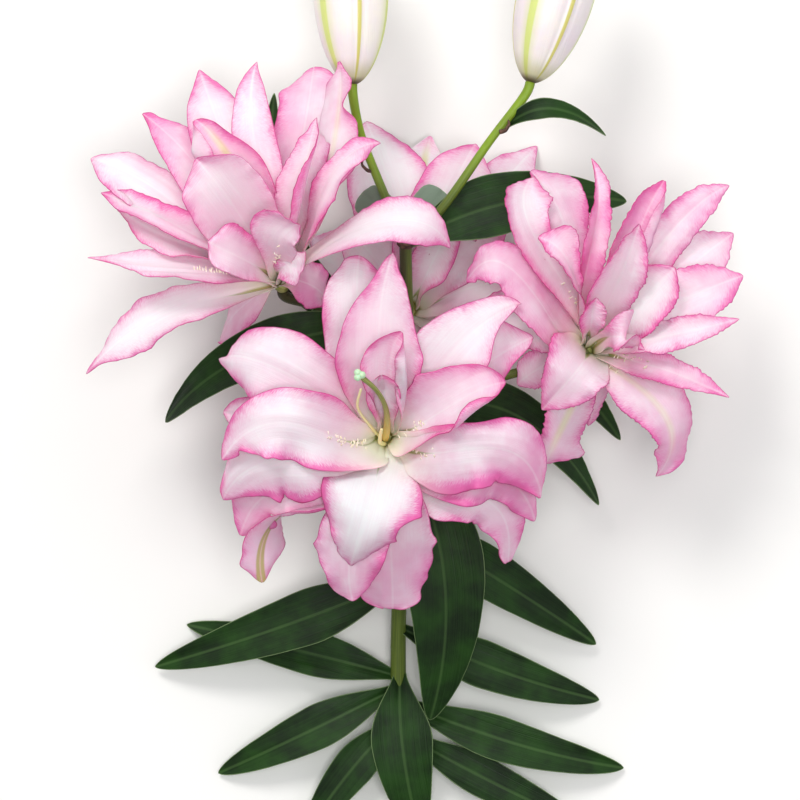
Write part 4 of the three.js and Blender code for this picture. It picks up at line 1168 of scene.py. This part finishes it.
def add_papilla(bm, blade, t, side, offset, height):
    row, next_row = (blade_row(blade, place, PETAL_COLUMNS) for place in (t, t + PAPILLA_STEP))
    column = min(range(1, PETAL_COLUMNS), key=lambda j: abs(row[j][1] - side * offset))
    foot = row[column][0]
    ahead = (next_row[column][0] - foot).normalized()
    aside = (row[column + 1][0] - row[column - 1][0]).normalized()
    way = aside.cross(ahead) * PAPILLA_RISE - aside * side * PAPILLA_LEAN + ahead * PAPILLA_AHEAD
    way.normalize()
    bmesh.ops.create_cone(
        bm,
        cap_ends=True,
        segments=PAPILLA_SIDES,
        radius1=PAPILLA_RADIUS * MM,
        radius2=PAPILLA_RADIUS * PAPILLA_TIP_SHARE * MM,
        depth=height * MM,
        matrix=upright_to(way, (foot + way * height * PAPILLA_MIDDLE) * MM),
    )


def add_papillae(bm, side, name, start, end, count, draw):
    """Papillae at random places beside the middle of one petal, between two places along it."""
    bloom = BLOOMS[side]
    index = next(i for i, row in enumerate(bloom["petals"]) if row[0] == name)
    layer = index / (len(bloom["petals"]) - 1)
    blade = petal_blade(side, bloom["petals"][index], layer, bloom, 0)
    for _ in range(count):
        t, offset = draw.uniform(start, end), draw.uniform(*PAPILLA_OFFSETS)
        add_papilla(bm, blade, t, draw.choice((-1, 1)), offset, draw.uniform(*PAPILLA_HEIGHTS))


PAPILLA_CREAM = plain_material("papilla_cream", "fffaf2", "f3e8c0", 0.002, 0.45)
for side in ("front", "left", "right"):
    draw = random.Random(f"papillae {side}")
    bm = bmesh.new()
    for bloom_side, name, start, end, count in PAPILLAE:
        if bloom_side == side:
            add_papillae(bm, side, name, start, end, count, draw)
    finished(bm, f"papillae_{side}", "petal", [f"bloom_{side}"], PAPILLA_CREAM)

# %% [markdown]
# The leaves are blades as well, lance shaped, with a folded midrib and no waves. They grow from the stem
# and its stalks, and the two bracts at the top node are short and full. A row gives the midrib's three
# points and the greatest width. Their backs are lighter, and where a leaf turns over it shows that side.

# %% Leaves
LEAVES = [
    ["behind_left_leaf", [[2, 290, 54], [-60, 325, 40], [-71, 421, 32]], 26],
    ["left_high_leaf", [[2, 289, 65], [-78, 275, 83], [-132, 235, 46]], 30],
    ["stalk_bract", [[-43, 302, 79], [-46, 286, 78], [-51, 266, 66]], 16],
    ["right_high_leaf", [[3, 334, 79], [62, 357, 86], [126, 358, 74]], 36],
    ["bud_bract", [[55, 396, 89], [83, 408, 98], [114, 394, 84]], 12],
    ["top_left_bract", [[1, 338, 78], [-10, 352, 74], [-22, 362, 67]], 20],
    ["top_right_bract", [[4, 338, 78], [14, 353, 74], [24, 364, 67]], 20],
    ["right_mid_leaf", [[3, 240, 50], [63, 240, 46], [113, 188, 22]], 30],
    ["right_stalk_leaf", [[80, 270, 70], [104, 250, 62], [124, 225, 46]], 15],
    ["front_leaf", [[2, 222, 46], [25, 146, 52], [17, 66, 26]], 48],
    ["right_low_leaf", [[1, 178, 36], [54, 147, 36], [112, 108, 8]], 30],
    ["left_mid_leaf", [[1, 146, 27], [-62, 121, 32], [-140, 95, 6]], 32],
    ["left_low_leaf", [[0, 90, 15], [-58, 105, 16], [-122, 119, 3]], 26],
    ["right_band_leaf", [[1, 118, 21], [56, 94, 22], [114, 76, 4]], 28],
    ["left_base_leaf", [[-1, 84, 14], [-54, 58, 18], [-104, 34, 3]], 26],
    ["left_foot_leaf", [[0, 66, 11], [-30, 34, 14], [-56, -4, 3]], 24],
    ["right_base_leaf", [[0, 76, 13], [66, 52, 20], [128, 37, 3]], 26],
    ["right_foot_leaf", [[0, 58, 10], [56, 28, 14], [110, 2, 3]], 24],
    ["centre_foot_leaf", [[0, 92, 16], [2, 46, 24], [12, -2, 8]], 36],
]
BRACT_OUTLINE = (0.6, 0.66, 4)
LEAF_AXIS = Vector((0, 0.15, 1)).normalized()
LEAF_OUTLINE = (0.2, 0.42, 1.3)
LEAF_THICKNESS = 0.8
LEAF_COLUMNS = 16
LEAF_ROWS = 48


def leaf_blade(name, midrib, width):
    bract = name.startswith("top_")
    return {
        "midrib": [Vector(place) for place in midrib],
        "axis": LEAF_AXIS,
        "width": width,
        "outline": BRACT_OUTLINE if bract else LEAF_OUTLINE,
        "cup": [0.5, 0.2],
        "roll": [0, 0],
        "wave": 0,
        "phase": 0.4 * width,
        "ragged": 0.02,
        "serrated": 0,
        "frill": 0.6,
        "swell": 1.2,
        "pleat": 0.2,
        "furrow": 0.9,
        "point": 0,
        "marks": [],
        "tone": 1 if bract else 0,
        "keel": 0,
        "rib": 0,
    }


leaf_sheet = mesh_with(BLADE_VALUES)
for name, midrib, width in LEAVES:
    add_blade(leaf_sheet, leaf_blade(name, midrib, width), LEAF_COLUMNS, LEAF_ROWS)
leaves = finished(leaf_sheet, "leaves", "foliage", ["leafy_stem"], LEAF_FACE, LEAF_BACK)
given_thickness(leaves, LEAF_THICKNESS, margin_share=0.5, margin_width=3)
print("leaves:", len(LEAVES))

# %% [markdown]
# Stem, stalks, filaments and pistil are tubes whose radius changes along a line. A flat grid is rolled
# round the line and its seam is welded, so a tube can have any thickness at any place. The radius shrinks
# to nothing at both ends, which closes them.

# %% Tubes
TUBE_VALUES = ("across", "length")
FINE_STEPS = 32


def smooth_line(points, steps):
    """Points at even distances on a smooth curve through the given ones, and its length."""
    points = [Vector(point) for point in points]
    ends = [points[0] * 2 - points[1], *points, points[-1] * 2 - points[-2]]
    fine = []
    for before, here, ahead, after in zip(ends, ends[1:], ends[2:], ends[3:]):
        gaps = [math.sqrt((b - a).length) for a, b in ((before, here), (here, ahead), (ahead, after))]
        leave = (here - before) / gaps[0] - (ahead - before) / (gaps[0] + gaps[1]) + (ahead - here) / gaps[1]
        arrive = (ahead - here) / gaps[1] - (after - here) / (gaps[1] + gaps[2]) + (after - ahead) / gaps[2]
        leave, arrive = leave * gaps[1], arrive * gaps[1]
        for k in range(FINE_STEPS):
            w = k / FINE_STEPS
            cubic = here * 2 - ahead * 2 + leave + arrive
            square = ahead * 3 - here * 3 - leave * 2 - arrive
            fine.append(here + leave * w + square * w**2 + cubic * w**3)
    fine.append(points[-1])
    reach = [0.0]
    for a, b in zip(fine, fine[1:]):
        reach.append(reach[-1] + (b - a).length)
    even, k = [], 0
    for i in range(steps + 1):
        goal = reach[-1] * i / steps
        while k < len(fine) - 2 and reach[k + 1] < goal:
            k += 1
        share = (goal - reach[k]) / (reach[k + 1] - reach[k])
        even.append(fine[k].lerp(fine[k + 1], share))
    return even, reach[-1]


def at_steps(values, t):
    """The value at t of a list of values at equal steps."""
    place = t * (len(values) - 1)
    slot = min(int(place), len(values) - 2)
    return lerp(values[slot], values[slot + 1], place - slot)


def add_tube(bm, points, radii, columns, rows, relief=None):
    """A closed tube. relief gives a share that is added to the radius at an angle and a place along it."""
    line, length = smooth_line(points, rows)
    aside = (line[1] - line[0]).orthogonal().normalized()
    frames = []
    for i, place in enumerate(line):
        ahead = (line[min(i + 1, rows)] - line[max(i - 1, 0)]).normalized()
        aside = (aside - ahead * aside.dot(ahead)).normalized()
        frames.append((place, aside.copy(), ahead.cross(aside)))
    grid = bmesh.ops.create_grid(bm, x_segments=columns, y_segments=rows, size=1)["verts"]
    across, along = bm.verts.layers.float["across"], bm.verts.layers.float["length"]
    for vert in grid:
        angle = vert.co.x * math.pi
        i = round((vert.co.y + 1) / 2 * rows)
        t = i / rows
        radius = 0 if i in (0, rows) else at_steps(radii, t)
        if relief:
            radius *= 1 + relief(angle, t)
        place, first, second = frames[i]
        vert[across] = angle * at_steps(radii, t)
        vert[along] = length * t
        vert.co = (place + first * (radius * math.cos(angle)) + second * (radius * math.sin(angle))) * MM
    bmesh.ops.remove_doubles(bm, verts=grid, dist=1e-7)


# %% [markdown]
# The main stem runs from the cut end up to the node where the bud stalks leave it. Every stalk starts
# inside the stem and ends straight behind its bloom or bud.

# %% Stem and stalks
STEM_LINE = [[0, -12, 4.2], [0, 25, 4.2], [-1, 110, 18], [2, 200, 40], [4, 270, 60], [3, 338, 80]]
STEM_RADIUS = [4.8, 4.6, 4.2, 3.9, 3.6, 3.4]
BLOOM_STALK_RADIUS = [2.6, 2.5, 3.2]
BUD_STALK_RADIUS = [2.7, 2.5, 2.3, 2.8]
STEM_GRID = (24, 120)
STALK_GRID = (16, 60)
STALK_END_LENGTH = 4
STALK_SINK = 2.5
SEAT_GAP = 0.3
BLOOM_STALKS = {
    "front": [[2, 200, 42], [-4, 212, 66]],
    "left": [[3, 270, 60], [-26, 287, 72], [-48, 300, 79]],
    "right": [[3, 244, 53], [35, 254, 58], [66, 263, 62], [90, 269, 63]],
    "rear": [[2, 246, 52], [3, 272, 30], [5, 288, 22]],
}
BUDS = {
    "left": {
        "stalk": [[3, 334, 78], [-9, 362, 82], [-22, 396, 80]],
        "base": Vector((-26.4, 422, 77)),
        "axis": Vector((-0.03, 1, 0.02)),
    },
    "right": {
        "stalk": [[3, 334, 78], [22, 352, 88], [50, 391, 92]],
        "base": Vector((71.5, 422, 94)),
        "axis": Vector((0.27, 0.96, 0)),
    },
}


def stalk_to(bm, end, axis, points, radii):
    before, inside = end - axis * STALK_END_LENGTH, end + axis * STALK_SINK
    add_tube(bm, [*points, before, inside], radii, *STALK_GRID)


stem = mesh_with(TUBE_VALUES)
add_tube(stem, STEM_LINE, STEM_RADIUS, *STEM_GRID)
for side, points in BLOOM_STALKS.items():
    axis = BLOOMS[side]["axis"].normalized()
    end = BLOOMS[side]["centre"] - axis * (RECEPTACLE_DEPTH + SEAT_GAP)
    stalk_to(stem, end, axis, points, BLOOM_STALK_RADIUS)
for bud in BUDS.values():
    stalk_to(stem, bud["base"], bud["axis"].normalized(), bud["stalk"], BUD_STALK_RADIUS)
for vert in stem.verts:
    vert.co.z = max(vert.co.z, 0)
finished(stem, "stem_and_stalks", "foliage", ["leafy_stem"], STALK_GREEN)

# %% [markdown]
# Where a bract or a leaf has dropped, the stem keeps a dark brown scar: a collar at the top node and a dry,
# curled remnant on each bud stalk.

# %% Scars
COLLAR = ([[2, 332.5, 78], [3, 335.5, 79.5], [3, 338.5, 80.5]], [3.8, 5.6, 3.4])
REMNANTS = [
    ([[-13, 375, 81.5], [-17.5, 374.5, 83], [-21, 378, 84], [-20.5, 380.5, 84.5]], [1.6, 1.0, 0.9, 0.5]),
    ([[55, 395.5, 93.5], [58, 396, 95.5], [60, 399.5, 96.5], [59.5, 402, 96.5]], [1.6, 1.1, 0.9, 0.5]),
]
SCAR_GRID = (14, 24)
SCAR_RELIEF = 0.16


def cracked(angle, t):
    return SCAR_RELIEF * noise.noise(Vector((angle * 1.3, t * 6, 3)))


SCAR_BROWN = plain_material("scar_brown", "2e211c", "6b4a3a", 0.002, 0.75, relief=0.0005)
scars = mesh_with(TUBE_VALUES)
for points, radii in (COLLAR, *REMNANTS):
    add_tube(scars, points, radii, *SCAR_GRID, relief=cracked)
finished(scars, "leaf_scars", "foliage", ["leafy_stem"], SCAR_BROWN)

# %% [markdown]
# A bud is closed: three outer petals meet edge to edge, and the midribs of the three inner ones show
# between them. So its skin is a spindle with three broad lobes, a ridge on each midrib and a shallow groove
# where two edges meet, which the colour follows with yellow-green stripes.

# %% Buds
BUD_LENGTH = 112
BUD_RADIUS = 20.9
BUD_BASE_RADIUS = 3.4
BUD_TAPER = 0.55
BUD_FULL_LOW = 0.93
LOBE_RELIEF = 0.035
OUTER_RIDGE = (0.02, 0.09)
INNER_RIDGE = (0.03, 0.06)
GROOVE = (0.035, 0.05)
GROOVE_ANGLE = 0.15
BUD_VALUES = ("across", "length", "outer", "inner")
BUD_COLUMNS = 96
BUD_ROWS = 90


def bud_material():
    material, tree, shader = new_material("bud_skin")
    along, outer = attribute(tree, "length"), attribute(tree, "outer")
    share = math_node(tree, "DIVIDE", along, BUD_LENGTH)
    veins = fine_lines(tree, attribute(tree, "across"), along, 0.8, 40.0)
    broad = plus(tree, times(tree, mask(tree, outer, 0.4, 0.0), 0.55), mask(tree, outer, 0.14, 0.04))
    broad = times(tree, broad, mask(tree, share, 1.0, 0.45), use_clamp=True)
    colour = washed(
        tree,
        mixed(tree, uneven_value(tree, 0.03), tint("f3efe4"), tint("ece0e6")),
        (veins, 0.16, "efe6d4"),
        (broad, 0.85, "cddb68"),
        (mask(tree, attribute(tree, "inner"), 0.085, 0.04), 0.9, "cfc85a"),
        (mask(tree, along, 16.0, 3.0), 0.6, "b3b565"),
        (mask(tree, along, 5.0, 0.8), 1.0, "574a30"),
    )
    sockets = {
        "Base Color": colour,
        "Roughness": ranged(tree, veins, 0.36, 0.46),
        "Subsurface Weight": 0.25,
        "Subsurface Radius": (1.0, 0.7, 0.5),
        "Subsurface Scale": 0.004,
        "Normal": bumped(tree, veins, 0.2, 0.0003),
    }
    connect(tree, shader, sockets)
    return material


BUD_SKIN = bud_material()


def bud_radius(t):
    """The radius of the plain spindle at t, which goes from 0 at the stalk to 1 at the tip."""
    if t <= 0 or t >= 1:
        return 0
    radius = BUD_RADIUS * math.sin(math.pi * t**BUD_FULL_LOW) ** BUD_TAPER
    return max(radius, BUD_BASE_RADIUS * min(1, t * 60)) if t < 0.5 else radius


def bell(place, height, width):
    return height * math.exp(-((place / width) ** 2))


def make_bud(side, bud, turned):
    """turned is the angle by which the first outer midrib is turned from the top."""
    bm = mesh_with(BUD_VALUES)
    layers = {name: bm.verts.layers.float[name] for name in BUD_VALUES}
    grid = bmesh.ops.create_grid(bm, x_segments=BUD_COLUMNS, y_segments=BUD_ROWS, size=1)["verts"]
    for vert in grid:
        angle = vert.co.x * math.pi
        t = (1 - math.cos(math.pi * (vert.co.y + 1) / 2)) / 2
        radius = bud_radius(t)
        third = 2 * math.pi / 3
        outer = abs((angle - turned + third / 2) % third - third / 2)
        inner = abs((angle - turned) % third - third / 2)
        lobe = 1 + LOBE_RELIEF * math.cos(3 * (angle - turned))
        ridge = bell(outer, *OUTER_RIDGE) + bell(inner, *INNER_RIDGE)
        groove = bell(inner - GROOVE_ANGLE, *GROOVE)
        shaped = radius * (lobe + (ridge - groove) * smooth_step(t, 0, 0.1) * smooth_step(1 - t, 0, 0.15))
        vert[layers["across"]] = angle * radius
        vert[layers["length"]] = t * BUD_LENGTH
        vert[layers["outer"]] = outer
        vert[layers["inner"]] = inner
        vert.co = Vector((shaped * math.sin(angle), shaped * math.cos(angle), t * BUD_LENGTH)) * MM
    bmesh.ops.remove_doubles(bm, verts=bm.verts, dist=1e-7)
    bmesh.ops.recalc_face_normals(bm, faces=bm.faces)
    axis = bud["axis"].normalized()
    above = (Vector((0, 0, 1)) - axis * axis.z).normalized()
    turn = Matrix((above.cross(axis), above, axis)).transposed().to_4x4()
    place = (bud["base"] + axis * SEAT_GAP) * MM
    bmesh.ops.transform(bm, matrix=Matrix.Translation(place) @ turn, verts=bm.verts)
    finished(bm, f"bud_skin_{side}", "bud_skin", [f"bud_{side}"], BUD_SKIN)


make_bud("left", BUDS["left"], math.radians(44))
make_bud("right", BUDS["right"], math.radians(28))

# %% [markdown]
# Only the front bloom shows its pistil: a green style that swells to a stigma of three lobes, with two pale
# filaments beside it.

# %% Pistil and filaments
PISTIL = (
    [[0, -0.6, -4.6], [0, 0, 0], [1, 7, 14], [0, 17, 28], [-5, 26, 39], [-14, 34, 47]],
    [2.2, 2.1, 1.7, 1.4, 1.3, 1.6],
)
FILAMENTS = {
    "long": (
        [[-2.8, 0.6, -4.4], [-3.4, 1, 0], [-8, 6, 14], [-15, 17, 28], [-13, 27, 36]],
        [1.0, 0.9, 0.8, 0.7],
    ),
    "short": ([[-0.4, -3.2, -4.4], [-0.5, -3.6, 0], [-3, -2, 10], [-2, 5, 20]], [1.1, 1.2, 0.8]),
}
PISTIL_GRID = (20, 48)
STIGMA_LOBE_RADIUS = 2.1
STIGMA_LOBE_OFFSET = 1.5
STIGMA_LENGTH = 90


def style_material(name, low, high, top):
    """low turns into high on the way up to top, and the stigma is pale green."""
    material, tree, shader = new_material(name)
    along = attribute(tree, "length")
    fibres = fine_lines(tree, attribute(tree, "across"), along, 0.4, 15.0)
    colour = washed(
        tree,
        mixed(tree, mask(tree, along, 2.0, top), tint(low), tint(high)),
        (fibres, 0.25, "e9e6a6"),
        (mask(tree, along, STIGMA_LENGTH - 12, STIGMA_LENGTH - 8), 1.0, "bfe0b8"),
    )
    sockets = {
        "Base Color": colour,
        "Roughness": ranged(tree, fibres, 0.32, 0.45),
        "Subsurface Weight": 0.2,
        "Subsurface Scale": 0.002,
    }
    connect(tree, shader, sockets)
    return material


STYLE_GREEN = style_material("style_green", "d3b45c", "6f7a2c", 50.0)
FILAMENT_CREAM = style_material("filament_cream", "dfe09a", "e8dca6", 30.0)


def stood_on_centre(name, node, slot, tube, material, lobes):
    """A tube from the centre of the front bloom, with a number of lobes at its tip."""
    line, radii = tube
    front = BLOOMS["front"]
    start = front["centre"] + front["axis"].normalized() * SEAT_GAP
    bm = mesh_with(TUBE_VALUES)
    add_tube(bm, [start + Vector(point) for point in line], radii, *PISTIL_GRID)
    tip = start + Vector(line[-1])
    for k in range(lobes):
        angle = k * 2 * math.pi / 3
        place = tip + Vector((math.cos(angle), math.sin(angle), 0)) * STIGMA_LOBE_OFFSET
        ball = bmesh.ops.create_uvsphere(bm, u_segments=16, v_segments=10, radius=STIGMA_LOBE_RADIUS * MM)
        bmesh.ops.translate(bm, verts=ball["verts"], vec=place * MM)
        for vert in ball["verts"]:
            vert[bm.verts.layers.float["length"]] = STIGMA_LENGTH
    finished(bm, name, slot, [node], material)


stood_on_centre("style_and_stigma", "pistil", "pistil", PISTIL, STYLE_GREEN, lobes=3)
for length, tube in FILAMENTS.items():
    stood_on_centre(f"{length}_filament", f"filament_{length}", "filament", tube, FILAMENT_CREAM, lobes=0)

# %% [markdown]
# At the end the view layer is brought up to date. The fine pieces must not outgrow the frame.

# %% The end
bpy.context.view_layer.update()
